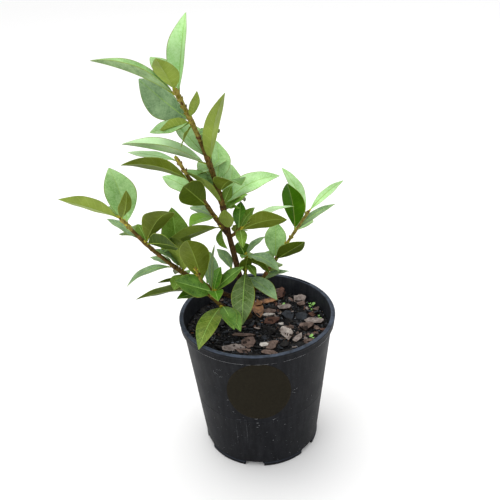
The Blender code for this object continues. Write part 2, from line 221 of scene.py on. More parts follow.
# Shared effect: fine grain, as a height
grain, ends_in, ends_out = group("fine grain", {"Scale": "value"}, {"Height": "value"})
place = grain.nodes.new("ShaderNodeTexCoord")
fine = node(grain, "ShaderNodeTexNoise", Detail=4, Roughness=0.6)
grain.links.new(place.outputs["Object"], fine.inputs["Vector"])
grain.links.new(ends_in.outputs["Scale"], fine.inputs["Scale"])
grain.links.new(fine.outputs["Fac"], ends_out.inputs["Height"])

# Shared effect: a dusty film that has run down in streaks
film, ends_in, ends_out = group("wall film", {"Colour": "colour", "Film": "colour"}, {"Colour": "colour"})
place = film.nodes.new("ShaderNodeTexCoord")
drawn = node(film, "ShaderNodeMapping")
drawn.inputs["Scale"].default_value = (1, 1, 0.14)
film.links.new(place.outputs["Object"], drawn.inputs["Vector"])
streaks = node(film, "ShaderNodeTexNoise", Scale=260, Detail=5, Roughness=0.7)
film.links.new(drawn.outputs["Vector"], streaks.inputs["Vector"])
specks = node(film, "ShaderNodeTexNoise", Scale=520, Detail=4, Roughness=0.75)
film.links.new(place.outputs["Object"], specks.inputs["Vector"])
streak_share = ranged(film, streaks.outputs["Fac"], 0.42, 0.78, 0, 0.3)
speck_share = ranged(film, specks.outputs["Fac"], 0.56, 0.76, 0, 0.55)
streaked = colour_mix(film, streak_share, ends_in.outputs["Colour"], ends_in.outputs["Film"])
filmed = colour_mix(film, speck_share, streaked, ends_in.outputs["Film"])
film.links.new(filmed, ends_out.inputs["Colour"])


def plastic(name, dark, light, dull):
    look, tree, shader = material(name, 0.5, Specular_IOR_Level=0.08)
    tones = placed(tree, mottle, First=rgb(dark), Second=rgb(light), Scale=45, Contrast=2.2)
    # The bluish pale this lays on the lip and other up-facing faces is partly dust and partly painted sky
    # sheen
    dusty = placed(tree, dust, Dust=rgb("545e6e"), Amount=0.85, Scale=160)
    filmed = placed(tree, film, Film=rgb(dull))
    tree.links.new(tones.outputs["Colour"], filmed.inputs["Colour"])
    tree.links.new(filmed.outputs["Colour"], dusty.inputs["Colour"])
    tree.links.new(dusty.outputs["Colour"], shader.inputs["Base Color"])
    tree.links.new(ranged(tree, tones.outputs["Drift"], 0, 1, 0.45, 0.6), shader.inputs["Roughness"])
    bumped(tree, shader, placed(tree, grain, Scale=900).outputs["Height"], 0.12, 0.3 * MM)
    return look


black_plastic = plastic("black pot plastic", "0a0b0e", "131418", "35363a")
# The inside is a lighter copy of the same plastic: painted light on the inner wall
inner_plastic = plastic("black pot plastic inside", "1b1d21", "2e3035", "4c4e52")


class Gathering:
    # Gathers the points and faces of one joined piece, with the material of each face
    def __init__(self):
        self.points = []
        self.faces = []
        self.indices = []
        self.looks = []

    def add(self, points, faces, looks):
        start = len(self.points)
        self.points.extend(points)
        for face, look in zip(faces, looks if isinstance(looks, list) else [looks] * len(faces)):
            if look not in self.looks:
                self.looks.append(look)
            self.faces.append([start + k for k in face])
            self.indices.append(self.looks.index(look))

    def piece(self, name, slot, nodes=(), sharp=40):
        mesh = bpy.data.meshes.new(name)
        mesh.from_pydata(self.points, [], self.faces)
        for look in self.looks:
            mesh.materials.append(look)
        mesh.polygons.foreach_set("material_index", self.indices)
        mesh.shade_smooth()
        mesh.set_sharp_from_angle(angle=math.radians(sharp))
        return shown_piece(name, mesh, nodes)


def shown_piece(name, mesh, nodes=()):
    made = bpy.data.objects.new(name, mesh)
    bpy.context.scene.collection.objects.link(made)
    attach(made, "root")
    if nodes:
        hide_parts(*nodes)
    return made


def rounded(corners, steps=4):
    # An outline whose corners are rounded, each by its own third value
    outline = [Vector(corners[0][:2])]
    for before, here, after in zip(corners, corners[1:], corners[2:]):
        corner = Vector(here[:2])
        towards = [Vector(end[:2]) - corner for end in (before, after)]
        reach = [min(here[2], side.length / 2) for side in towards]
        start, end = (corner + side.normalized() * far for side, far in zip(towards, reach))
        for k in range(steps + 1):
            t = k / steps
            outline.append(start * (1 - t) ** 2 + corner * 2 * t * (1 - t) + end * t**2)
    outline.append(Vector(corners[-1][:2]))
    return outline


def turned(outline, sides):
    # Points and faces of an outline of radius and height, swept round the Z axis
    points, rings = [], []
    for radius, height in outline:
        ring = []
        for k in range(sides if radius > 1e-6 else 1):
            angle = math.tau * k / sides
            ring.append(len(points))
            points.append((radius * math.cos(angle), radius * math.sin(angle), height))
        rings.append(ring)
    faces = []
    for low, high in zip(rings, rings[1:]):
        for k in range(sides):
            n = (k + 1) % sides
            corners = [low[k % len(low)], low[n % len(low)], high[n % len(high)], high[k % len(high)]]
            faces.append(list(dict.fromkeys(corners)))
    return points, faces


def wall_radius(height):
    return BASE_RADIUS + (RIM_RADIUS - SHOULDER_STEP - BASE_RADIUS) * height / COLLAR_FOOT


def cut(target, cutter):
    step = target.modifiers.new("cut", "BOOLEAN")
    step.operation = "DIFFERENCE"
    step.solver = "EXACT"
    step.object = cutter
    result = bpy.data.meshes.new_from_object(target.evaluated_get(bpy.context.evaluated_depsgraph_get()))
    target.modifiers.clear()
    target.data = result
    bpy.data.objects.remove(cutter, do_unlink=True)


lip_inside = RIM_RADIUS - LIP_WIDTH
pot_outline = rounded([
    (0, 0.9 * MM, 0),
    (BASE_RADIUS - 6 * MM, 0.9 * MM, 0.4 * MM),
    (BASE_RADIUS - 6.6 * MM, 0, 0.4 * MM),
    (BASE_RADIUS, 0, 1.2 * MM),
    (wall_radius(BASE_BAND), BASE_BAND, 0.4 * MM),
    (wall_radius(BASE_BAND) - 0.5 * MM, BASE_BAND + 0.6 * MM, 0.4 * MM),
    (wall_radius(SEAM_HEIGHT) - 0.5 * MM, SEAM_HEIGHT, 0.2 * MM),
    (wall_radius(SEAM_HEIGHT) - 0.36 * MM, SEAM_HEIGHT + 0.25 * MM, 0.2 * MM),
    (wall_radius(SEAM_HEIGHT) - 0.48 * MM, SEAM_HEIGHT + 0.9 * MM, 0.4 * MM),
    (wall_radius(COLLAR_FOOT) - 0.5 * MM, COLLAR_FOOT - 0.8 * MM, 0.8 * MM),
    (RIM_RADIUS - 0.9 * MM, COLLAR_FOOT, 0.5 * MM),
    (RIM_RADIUS - 0.6 * MM, POT_HEIGHT - 2.6 * MM, 0.5 * MM),
    (RIM_RADIUS - 0.2 * MM, POT_HEIGHT - 2.0 * MM, 0.4 * MM),
    (RIM_RADIUS, POT_HEIGHT, 1.0 * MM),
    (lip_inside, POT_HEIGHT, 0.9 * MM),
    (lip_inside - 0.6 * MM, COLLAR_FOOT - 2.0 * MM, 0.8 * MM),
    (wall_radius(COLLAR_FOOT - 6 * MM) - WALL, COLLAR_FOOT - 6 * MM, 1.0 * MM),
    (wall_radius(FLOOR) - WALL, FLOOR, 1.0 * MM),
    (0, FLOOR, 0),
])
shell = Gathering()
points, faces = turned(pot_outline, POT_SIDES)
looks = []
for face in faces:
    middle = sum((Vector(points[k]) for k in face), Vector()) / len(face)
    inside = middle.z > FLOOR + MM and middle.xy.length < wall_radius(middle.z) - WALL * 0.6
    looks.append(inner_plastic if inside else black_plastic)
shell.add(points, faces, looks)
pot = shell.piece("nursery_pot", "pot_plastic", ["pot"], sharp=SHARP_TURN)
for k in range(NOTCHES):
    bearing = math.radians(FRONT_NOTCH_BEARING) + math.tau * k / NOTCHES
    solid = bmesh.new()
    bmesh.ops.create_cube(solid, size=1)
    bmesh.ops.scale(solid, vec=NOTCH_SIZE, verts=solid.verts)
    bmesh.ops.bevel(solid, geom=solid.edges, offset=NOTCH_ROUNDING, segments=3, affect="EDGES")
    tool_mesh = bpy.data.meshes.new("notch cutter")
    solid.to_mesh(tool_mesh)
    solid.free()
    tool = bpy.data.objects.new("notch cutter", tool_mesh)
    tool.rotation_euler.z = bearing
    tool.location = Vector((math.cos(bearing), math.sin(bearing), 0)) * BASE_RADIUS
    bpy.context.scene.collection.objects.link(tool)
    bpy.context.view_layer.update()
    cut(pot, tool)


def arc_bar(bearings, radii, heights, steps=24):
    # A closed bar bent round the pot's axis, as points and faces
    points, faces = [], []
    for k in range(steps + 1):
        angle = math.radians(bearings[0] + (bearings[1] - bearings[0]) * k / steps)
        for outer, upper in ((0, 0), (1, 0), (1, 1), (0, 1)):
            reach = radii[outer]
            points.append((reach * math.cos(angle), reach * math.sin(angle), heights[upper]))
    for k in range(steps):
        for c in range(4):
            n = (c + 1) % 4
            faces.append([4 * k + c, 4 * k + n, 4 * k + 4 + n, 4 * k + 4 + c][::-1])
    faces.append([0, 1, 2, 3])
    faces.append([4 * steps + c for c in (3, 2, 1, 0)])
    return points, faces


tool_mesh = bpy.data.meshes.new("slot cutter")
points, faces = arc_bar(TAG_SLOT_BEARINGS, TAG_SLOT_RADII, (POT_HEIGHT - TAG_SLOT_DEPTH, POT_HEIGHT + MM))
tool_mesh.from_pydata(points, [], faces)
tool = bpy.data.objects.new("slot cutter", tool_mesh)
bpy.context.scene.collection.objects.link(tool)
bpy.context.view_layer.update()
cut(pot, tool)
pot.data.set_sharp_from_angle(angle=math.radians(SHARP_TURN))


# Wear on the pot
# Pale scuffs, lime specks and dust along the collar's edges, left by handling and watering.
# Each is a flake a few hundredths of a millimetre thick that lies on the wall.

SCUFF_PROUD = 0.04 * MM
SCUFF_SUNK = 0.3 * MM
WALL_INSET = 0.48 * MM
COLLAR_INSETS = (0.9, 0.5)
scuff_chalk, tree, shader = material("pale scuffed plastic", 0.7, Specular_IOR_Level=0.1)
two_toned(tree, shader, "74777b", "b4b6b8", 700, 3)


def on_wall(bearing, height, proud=SCUFF_PROUD):
    angle = math.radians(bearing)
    radius = wall_radius(height) - WALL_INSET + proud
    return Vector((radius * math.cos(angle), radius * math.sin(angle), height))


def on_collar(bearing, height, proud=SCUFF_PROUD):
    angle = math.radians(bearing)
    share = (height - COLLAR_FOOT) / (POT_HEIGHT - COLLAR_FOOT)
    low, high = COLLAR_INSETS
    radius = RIM_RADIUS - (low + (high - low) * share) * MM + proud
    return Vector((radius * math.cos(angle), radius * math.sin(angle), height))


def stroke(spots, width):
    # A thin ridge over a row of spots, tapering to both ends, its foot sunk in what it lies on
    points, faces = [], []
    for k, spot in enumerate(spots):
        ahead = (spots[min(k + 1, len(spots) - 1)] - spots[max(k - 1, 0)]).normalized()
        out = Vector((spot.x, spot.y, 0)).normalized()
        taper = math.sin(math.pi * (k + 0.35) / (len(spots) - 0.3))
        across = ahead.cross(out).normalized() * width / 2 * taper
        foot = spot - out * SCUFF_SUNK
        points += [foot - across, spot - across * 0.4, spot + across * 0.4, foot + across]
    for k in range(len(spots) - 1):
        for c in range(4):
            n = (c + 1) % 4
            faces.append([4 * k + c, 4 * k + n, 4 * k + 4 + n, 4 * k + 4 + c])
    faces.append([3, 2, 1, 0])
    faces.append([4 * len(spots) - 4 + c for c in range(4)])
    return points, faces


# Scuffs seen in the photograph: bearing, height, length along the wall, slope, bend, width
SCUFFS = [
    (-126, 108.5, 5.0, -38, 50, 0.32),
    (-121, 106.0, 3.4, 24, -40, 0.30),
    (-121, 113.5, 6.0, 30, 30, 0.16),
    (-63, 86.0, 4.2, -42, 0, 0.20),
    (-62, 89.0, 5.2, 4, 12, 0.18),
    (-94.5, 61.5, 3.0, 12, 30, 0.26),
    (-93.8, 56.5, 1.6, 0, 20, 0.55),
    (-92.6, 53.4, 1.2, 40, 0, 0.50),
    (-94.0, 51.2, 1.6, 14, 20, 0.55),
    (-79.5, 59.5, 2.6, 24, 0, 0.26),
    (-114, 67.0, 1.2, 0, 0, 0.50),
    (-117.5, 80.0, 1.0, 20, 0, 0.45),
    (-86, 44.5, 0.8, 0, 0, 0.50),
    (-77, 57.0, 0.8, 0, 0, 0.45),
    (-70, 50.0, 1.0, 60, 0, 0.40),
    (-112.5, 36.0, 0.9, 0, 0, 0.55),
    (-80.5, 33.0, 0.9, 0, 0, 0.45),
]
SCUFF_STEPS = 7
SPECKS = 420
COLLAR_DASHES = 150
DASH_STEPS = 5
wear = Gathering()
for bearing, height, length, slope, bend, width in SCUFFS:
    spots = []
    for k in range(SCUFF_STEPS + 1):
        share = k / SCUFF_STEPS - 0.5
        turn = math.radians(slope + bend * share)
        step = Vector((math.cos(turn), math.sin(turn))) * length * share
        spots.append(on_wall(bearing + math.degrees(step.x * MM / BASE_RADIUS), (height + step.y) * MM))
    wear.add(*stroke(spots, width * MM), scuff_chalk)
dice = random.Random("lime specks")
for k in range(SPECKS):
    bearing = dice.uniform(-180, 180)
    height = (6 + 116 * dice.random() ** 1.3) * MM
    size = dice.uniform(0.15, 0.42) * MM * (1 if k % 9 else 1.6)
    slant = dice.uniform(-0.5, 0.5) * size
    half_turn = math.degrees(size / 2 / BASE_RADIUS)
    ends = [on_wall(bearing + side * half_turn, height + side * slant) for side in (-1, 0, 1)]
    wear.add(*stroke(ends, size * dice.uniform(0.4, 0.9)), scuff_chalk)
dice = random.Random("dusty collar")
for edge, width, proud in ((COLLAR_FOOT + 0.35 * MM, 0.26, 0.05), (POT_HEIGHT - 2.3 * MM, 0.18, 0.12)):
    for k in range(COLLAR_DASHES):
        bearing = dice.uniform(-180, 180)
        length = dice.uniform(1.0, 7.0)
        spots = []
        for j in range(DASH_STEPS + 1):
            height = edge + dice.uniform(-0.05, 0.05) * MM
            spots.append(on_collar(bearing + j * length / DASH_STEPS, height, proud * MM))
        wear.add(*stroke(spots, width * MM * dice.uniform(0.5, 1)), scuff_chalk)
wear.piece("scuffs_and_lime_specks", "pot_plastic")

# Faint lines that the mould has left on the lower wall: an open rectangle, by bearing and height
MOULD_CORNERS = [(-113.5, 26), (-112.8, 58), (-103.2, 59.5), (-103.8, 30)]
MOULD_PROUD = 0.09 * MM
MOULD_WIDTH = 0.3 * MM
MOULD_STEPS = 16
mould_trace, tree, shader = material("faint mould line", 0.6, Specular_IOR_Level=0.1)
two_toned(tree, shader, "26272b", "6a6c70", 300, 4)
moulding = Gathering()
for (b0, h0), (b1, h1) in zip(MOULD_CORNERS, MOULD_CORNERS[1:]):
    shares = [k / MOULD_STEPS for k in range(MOULD_STEPS + 1)]
    spots = [on_wall(b0 + (b1 - b0) * s, (h0 + (h1 - h0) * s) * MM, MOULD_PROUD) for s in shares]
    moulding.add(*stroke(spots, MOULD_WIDTH), mould_trace)
moulding.piece("mould_lines", "pot_plastic")


# The label
# An upright oval paper label with nothing on it, stuck to the front of the tapered wall under
# the collar, so its two sides hang a little. It is dark brown, matte and worn at its edge.

LABEL_HALF_WIDTH = 28.7 * MM
LABEL_HALF_HEIGHT = 31.8 * MM
LABEL_BEARING = -91.3
LABEL_MIDDLE = 93.9 * MM
LABEL_SAG = 3.2 * MM
LABEL_THICK = 0.16 * MM
LABEL_BACK = -0.2 * MM
EDGE_NICK = 0.12 * MM
LABEL_RINGS = 18
LABEL_SIDES = 120

label_paper, tree, shader = material("dark brown label paper", 0.85, Specular_IOR_Level=0.05)
tones = placed(tree, mottle, First=rgb("1f1c15"), Second=rgb("25221a"), Scale=420, Contrast=2.5)
dusty = placed(tree, dust, Dust=rgb("3a372f"), Amount=0.2, Scale=300)
tree.links.new(tones.outputs["Colour"], dusty.inputs["Colour"])
tree.links.new(dusty.outputs["Colour"], shader.inputs["Base Color"])
bumped(tree, shader, placed(tree, grain, Scale=2600).outputs["Height"], 0.25, 0.1 * MM)
label_edge, tree, shader = material("worn label edge", 0.85, Specular_IOR_Level=0.05)
two_toned(tree, shader, "1c1912", "2a261d", 500, 4)


def on_label(share, angle, proud):
    nick = EDGE_NICK * noise.noise(Vector((math.cos(angle) * 9, math.sin(angle) * 9, 4)))
    above = (LABEL_HALF_HEIGHT + nick) * share * math.sin(angle)
    height = LABEL_MIDDLE + above - LABEL_SAG * (share * math.cos(angle)) ** 2
    across = (LABEL_HALF_WIDTH + nick) * share * math.cos(angle)
    bearing = LABEL_BEARING + math.degrees(across / wall_radius(height))
    return on_wall(bearing, height, proud)


levels = [(k / LABEL_RINGS, LABEL_THICK) for k in range(1, LABEL_RINGS)]
levels += [(0.992, LABEL_THICK), (0.998, LABEL_THICK * 0.8), (1, LABEL_THICK * 0.35), (1, LABEL_BACK)]
points = [on_label(0, 0, LABEL_THICK)]
faces, looks = [], []
for ring, (share, proud) in enumerate(levels):
    points += [on_label(share, math.tau * k / LABEL_SIDES, proud) for k in range(LABEL_SIDES)]
    for k in range(LABEL_SIDES):
        here, n = 1 + ring * LABEL_SIDES, (k + 1) % LABEL_SIDES
        inner = here - LABEL_SIDES
        faces.append([0, here + k, here + n] if ring == 0 else [inner + k, here + k, here + n, inner + n])
        looks.append(label_edge if share > 0.99 else label_paper)
back = len(points)
points.append(on_label(0, 0, LABEL_BACK))
for k in range(LABEL_SIDES):
    faces.append([back, back - LABEL_SIDES + (k + 1) % LABEL_SIDES, back - LABEL_SIDES + k])
    looks.append(label_edge)
label = Gathering()
label.add(points, faces, looks)
label.piece("blank_oval_label", "pot_plastic", sharp=60)


# The potting mix
# Composted bark, nearly black and damp, filled to about 16 mm under the rim: an uneven bed
# with flakes lying on it, replacing the plain plug.

MIX_LEVEL = 117.6 * MM
MIX_RING = 1.1 * MM
MIX_SIDES = 260
MIX_FOOT = 6 * MM
MIX_EDGE_DEPTH = 6 * MM
FLAKES = 5600
STEM_FOOT = Vector((-9, 17)) * MM


def mix_height(x, y):
    # The top of the mix over a spot: slow swells, lumps, and a dip at the wall
    at = Vector((x, y, 0)) * 1000
    away = (Vector((x, y)) - STEM_FOOT).length
    height = 1.3 * noise.noise(at * 0.045) + 1.0 * noise.noise(at * 0.16) + 0.45 * noise.noise(at * 0.5)
    height += 1.0 * math.exp(-((away / (9 * MM)) ** 2))
    rim = wall_radius(MIX_LEVEL) - WALL - math.hypot(x, y)
    return MIX_LEVEL + (height - 0.7 * math.exp(-rim / (3 * MM))) * MM


damp_mix, tree, shader = material("damp bark compost", 0.85, Specular_IOR_Level=0.12)
two_toned(tree, shader, "060708", "1c1c1d", 620, 3.6)
bumped(tree, shader, placed(tree, grain, Scale=1500).outputs["Height"], 0.8, 0.5 * MM)
# The bluish grey of the ash flakes is partly grey bark and partly painted glints on the damp, shiny mix
flake_tones = {
    "black": ("0a0b0d", "1a1c1f"),
    "coal": ("1c1e22", "34363b"),
    "ash": ("3e4146", "70747b"),
    "brown": ("2c1f1a", "5c473b"),
    "straw": ("6c5a48", "9a8874"),
}
flake_looks = {}
for name, (dark, light) in flake_tones.items():
    look, tree, shader = material(name + " bark flake", 0.5, Specular_IOR_Level=0.3)
    two_toned(tree, shader, dark, light, 600, 3)
    bumped(tree, shader, placed(tree, grain, Scale=2000).outputs["Height"], 0.5, 0.3 * MM)
    flake_looks[name] = look

# The bed's rings, from its middle to the wall, then two rings under its edge down to its foot
mix_edge = wall_radius(MIX_LEVEL) - WALL - 0.15 * MM
count = round(mix_edge / MIX_RING)
rings = [(mix_edge * ring / count, None) for ring in range(1, count + 1)]
rings.append((mix_edge - 0.7 * MM, MIX_LEVEL - MIX_EDGE_DEPTH))
rings.append((wall_radius(MIX_FOOT) - WALL - 0.4 * MM, MIX_FOOT))
points = [(0, 0, mix_height(0, 0))]
faces = []
for radius, height in rings:
    here = len(points)
    inner = here - MIX_SIDES
    for k in range(MIX_SIDES):
        angle = math.tau * k / MIX_SIDES
        x, y = radius * math.cos(angle), radius * math.sin(angle)
        points.append((x, y, mix_height(x, y) if height is None else height))
        n = (k + 1) % MIX_SIDES
        faces.append([0, here + k, here + n] if here == 1 else [inner + k, here + k, here + n, inner + n])
faces.append([len(points) - 1 - k for k in range(MIX_SIDES)])
bed = Gathering()
bed.add(points, faces, damp_mix)
bed.piece("mix_bed", "bark_mix", ["potting_mix"], sharp=70)

# A small angular lump is a stretched octahedron with its corners pulled about
OCTAHEDRON = [Vector(v) for v in ((1, 0, 0), (-1, 0, 0), (0, 1, 0), (0, -1, 0), (0, 0, 1), (0, 0, -1))]
OCTAHEDRON_FACES = [[0, 2, 4], [2, 1, 4], [1, 3, 4], [3, 0, 4], [2, 0, 5], [1, 2, 5], [3, 1, 5], [0, 3, 5]]


def on_right(x, y):
    # The right-hand part of the bed, where more of the bark is brown and grey
    return x + 0.25 * y > -8 * MM


def random_spot(dice, reach):
    radius = reach * math.sqrt(dice.random())
    angle = dice.uniform(0, math.tau)
    return radius * math.cos(angle), radius * math.sin(angle)


def lump(dice, x, y, size, flat):
    turn = Matrix.Rotation(dice.uniform(0, math.tau), 3, "Z")
    turn = turn @ Matrix.Rotation(dice.uniform(-0.5, 0.5), 3, "X")
    stretch = Vector((dice.uniform(0.8, 1.9), dice.uniform(0.6, 1.1), flat * dice.uniform(0.6, 1.2)))
    middle = Vector((x, y, mix_height(x, y) + size * 0.2))
    points = []
    for corner in OCTAHEDRON:
        pulled = Vector([c * s * size * dice.uniform(0.7, 1.2) for c, s in zip(corner, stretch)])
        points.append(middle + turn @ pulled)
    return points


def flake(dice, x, y, length):
    # A thin splinter of bark with a broken outline, lying at a slant
    count = dice.choice((4, 5))
    turn = Matrix.Rotation(dice.uniform(0, math.tau), 3, "Z")
    turn = turn @ Matrix.Rotation(dice.gauss(0, 0.42), 3, "X")
    turn = turn @ Matrix.Rotation(dice.gauss(0, 0.25), 3, "Y")
    width, thick = length * dice.uniform(0.28, 0.75), length * dice.uniform(0.1, 0.26)
    corners = []
    for k in range(count):
        angle = math.tau * (k + dice.uniform(-0.3, 0.3)) / count
        corners.append((math.cos(angle) * length / 2, math.sin(angle) * width / 2))
    middle = Vector((x, y, mix_height(x, y) + 0.22 * width))
    inset = dice.uniform(0.75, 1)
    points = [middle + turn @ Vector((a * inset, b * inset, thick / 2)) for a, b in corners]
    points += [middle + turn @ Vector((a, b, -thick / 2)) for a, b in corners]
    sides = [[k, count + k, count + (k + 1) % count, (k + 1) % count] for k in range(count)]
    return points, [list(range(count)), list(range(2 * count - 1, count - 1, -1)), *sides]


flakes = Gathering()
dice = random.Random("bark flakes")
for k in range(FLAKES):
    length = (0.9 + 3.2 * dice.random() ** 2.4) * MM
    x, y = random_spot(dice, mix_edge - length * 0.5)
    weights = (52, 24, 10, 10, 2) if on_right(x, y) else (62, 24, 9, 3, 0.6)
    flakes.add(*flake(dice, x, y, length), flake_looks[dice.choices(list(flake_looks), weights)[0]])
flakes.piece("bark_flakes", "bark_mix", sharp=20)


# Bark chips
# Broken pine bark, flat and layered, in browns from near black to weathered grey, lying on
# the mix. Those that can be told apart in the photograph have their own places.

chip_tones = {
    "dark": ("0c0c0d", "2c2a29"),
    "slate": ("1b1d21", "40454c"),
    "red": ("33211c", "765446"),
    "brown": ("3c2f29", "8c776d"),
    "grey": ("524742", "bcafa8"),
    "pale": ("5a4a42", "dcd2ca"),
    "white": ("a39a92", "eee8e2"),
    "tan": ("5c3a1f", "b2855a"),
}
chip_looks = {}
# Each tone keeps its own colours for the split faces on top, and has a darker copy, painted shade, for the
# sides, steep steps and foot
for name, (dark, light) in chip_tones.items():
    for part, first, second in (("split face", dark, light), ("painted shade side", "0e0c0b", dark)):
        look, tree, shader = material(f"{name} bark, {part}", 0.7, Specular_IOR_Level=0.2)
        tones = placed(tree, mottle, First=rgb(first), Second=rgb(second), Scale=240, Contrast=3.2)
        fine_tones = placed(tree, mottle, First=rgb(first), Second=rgb(second), Scale=1100, Contrast=3)
        blend = colour_mix(tree, 0.3, tones.outputs["Colour"], fine_tones.outputs["Colour"])
        tree.links.new(blend, shader.inputs["Base Color"])
        bumped(tree, shader, placed(tree, grain, Scale=1200).outputs["Height"], 0.5, 0.4 * MM)
        chip_looks[name, part] = look

# Place of the middle, bearing of the length, length, width, thickness, tilt up of the far end,
# roll, and tone: millimetres and degrees
CHIPS = [
    (24.0, 50.0, 70, 13, 8, 5, 20, 20, "red"),
    (19.0, 57.0, 20, 11, 7, 4, 10, 0, "brown"),
    (41.0, 41.0, -10, 13, 10, 4, 6, 18, "grey"),
    (42.0, 33.5, 30, 8, 6, 3, 0, 0, "brown"),
    (26.5, 28.0, -4, 14, 8, 4, 6, 14, "grey"),
    (12.0, 22.5, -16, 14, 7, 3, 4, 18, "brown"),
    (10.5, 17.0, 0, 13, 5, 2.5, 0, 24, "white"),
    (13.5, 6.0, -16, 13, 11, 3, 4, 10, "red"),
    (28.5, 15.0, 20, 12, 13, 3, 4, 8, "slate"),
    (41.0, 12.5, -38, 13, 9, 3, 4, 12, "slate"),
    (51.0, 14.5, 30, 7, 6, 3, 0, 0, "red"),
    (44.5, -4.5, -10, 13, 12, 4, 4, 8, "brown"),
    (52.0, 2.5, -14, 19, 7, 3, 5, 26, "grey"),
    (54.0, -8.0, -60, 8, 6, 3, 0, 0, "brown"),
    (10.0, -9.5, -52, 19, 8, 4, 6, 8, "dark"),
    (25.5, -16.5, -58, 21, 13, 4, 14, 16, "pale"),
    (34.5, -23.0, 60, 15, 6, 2.5, 8, 12, "grey"),
    (21.5, 1.5, 10, 5, 4, 2, 0, 0, "white"),
    (30.5, -3.0, -50, 8, 5, 2, 8, 0, "brown"),
    (5.0, -30.0, 0, 8, 7, 3, 0, 0, "white"),
    (12.0, -32.5, -40, 10, 12, 3.5, 6, 8, "brown"),
    (-8.5, -26.5, 10, 12, 13, 5, 4, 6, "brown"),
    (-21.0, -32.5, 10, 22, 9, 3, -3, 8, "grey"),
    (-13.5, -37.0, -8, 14, 7, 3, 0, 6, "brown"),
    (-13.5, -14.5, -14, 26, 4, 2, 4, 10, "brown"),
    (-33.0, -31.0, -30, 12, 5, 3, 0, 0, "dark"),
    (34.5, -31.0, 6, 13, 7, 3, 0, 6, "dark"),
    (44.0, -28.0, 10, 10, 6, 3, 0, 4, "brown"),
    (9.0, -41.0, -14, 15, 7, 3, 0, 4, "brown"),
    (24.0, -43.0, 12, 14, 7, 3, 0, 0, "dark"),
    (-4.0, -46.5, 10, 11, 5, 3, 0, 0, "dark"),
    (1.5, 32.5, -16, 12, 7, 3, 20, 0, "tan"),
]
SCATTERED_CHIPS = 470
CHIP_ROWS = 14
CHIP_COLUMNS = 8
CHIP_STEPS = 2.2
SHADED_STEP_DROP = 0.3


def reach_to(corners, x, y):
    # How far a broken outline lies from its middle, towards x and y
    for here, there in zip(corners, corners[1:] + corners[:1]):
        side = there - here
        under = x * side.y - y * side.x
        if abs(under) > 1e-9:
            far = (here.x * side.y - here.y * side.x) / under
            share = (here.x * y - here.y * x) / under
            if far > 0 and -1e-6 <= share <= 1 + 1e-6:
                return far
    return 1


def chip(dice, x, y, bearing, length, width, thick, tilt, roll, tone):
    # A split slab of bark: a broken outline, a ridge and steps along its top, and a narrower foot
    seed = Vector([dice.uniform(0, 90) for axis in range(3)])
    count, skew = dice.choice((5, 6, 7)), dice.uniform(-0.3, 0.3)
    ridge, slope = dice.uniform(-0.5, 0.5), dice.uniform(0.1, 0.7)
    turns = [math.tau * (k + dice.uniform(-0.32, 0.32)) / count for k in range(count)]
    corners = [Vector((math.cos(a), math.sin(a))) * dice.uniform(0.92, 1.18) for a in turns]
    tops, feet = [], []
    for i in range(CHIP_ROWS + 1):
        for j in range(CHIP_COLUMNS + 1):
            s, u = 2 * i / CHIP_ROWS - 1, 2 * j / CHIP_COLUMNS - 1
            inward = reach_to(corners, s, u) * max(abs(s), abs(u))
            s, u = s * inward, u * inward
            across = u * width / 2
            ahead = s * length / 2 + skew * across
            along_grain = noise.noise(seed + Vector((ahead * 34, across * 190, 9)))
            step = round(along_grain * CHIP_STEPS) / CHIP_STEPS
            rough = 0.06 * noise.noise(seed + Vector((ahead, across, 0)) * 900)
            top = thick * (0.5 + 0.4 * step + rough - slope * abs(u - ridge))
            tops.append(Vector((ahead, across, top)))
            feet.append(Vector((ahead * 0.93, across * 0.9, thick * (rough - 0.5))))
    bearing, tilt, roll = (math.radians(v) for v in (bearing, tilt, roll))
    turn = Matrix.Rotation(bearing, 3, "Z") @ Matrix.Rotation(-tilt, 3, "Y") @ Matrix.Rotation(roll, 3, "X")
    lift = abs(math.sin(tilt)) * length * 0.3 + abs(math.sin(roll)) * width * 0.3
    middle = Vector((x, y, mix_height(x, y) + thick * 0.3 + lift))
    points = [middle + turn @ p for p in tops + feet]
    count, below = CHIP_COLUMNS + 1, len(tops)
    faces, parts = [], []
    for i in range(CHIP_ROWS):
        for j in range(CHIP_COLUMNS):
            a = i * count + j
            upper = [a, a + count, a + count + 1, a + 1]
            # A steep step between levels takes the painted-shade copy, like the sides and foot
            heights = [tops[c].z for c in upper]
            drop = max(heights) - min(heights)
            faces += [upper, [below + c for c in (a, a + 1, a + count + 1, a + count)]]
            parts += ["painted shade side" if drop > SHADED_STEP_DROP * thick else "split face", "painted shade side"]
    outline = [*range(0, CHIP_ROWS * count, count), *range(CHIP_ROWS * count, below - 1)]
    outline += [*range(below - 1, count - 1, -count), *range(count - 1, 0, -1)]
    for a, b in zip(outline, outline[1:] + outline[:1]):
        faces.append([a, below + a, below + b, b][::-1])
        parts.append("painted shade side")
    return points, faces, [chip_looks[tone, part] for part in parts]


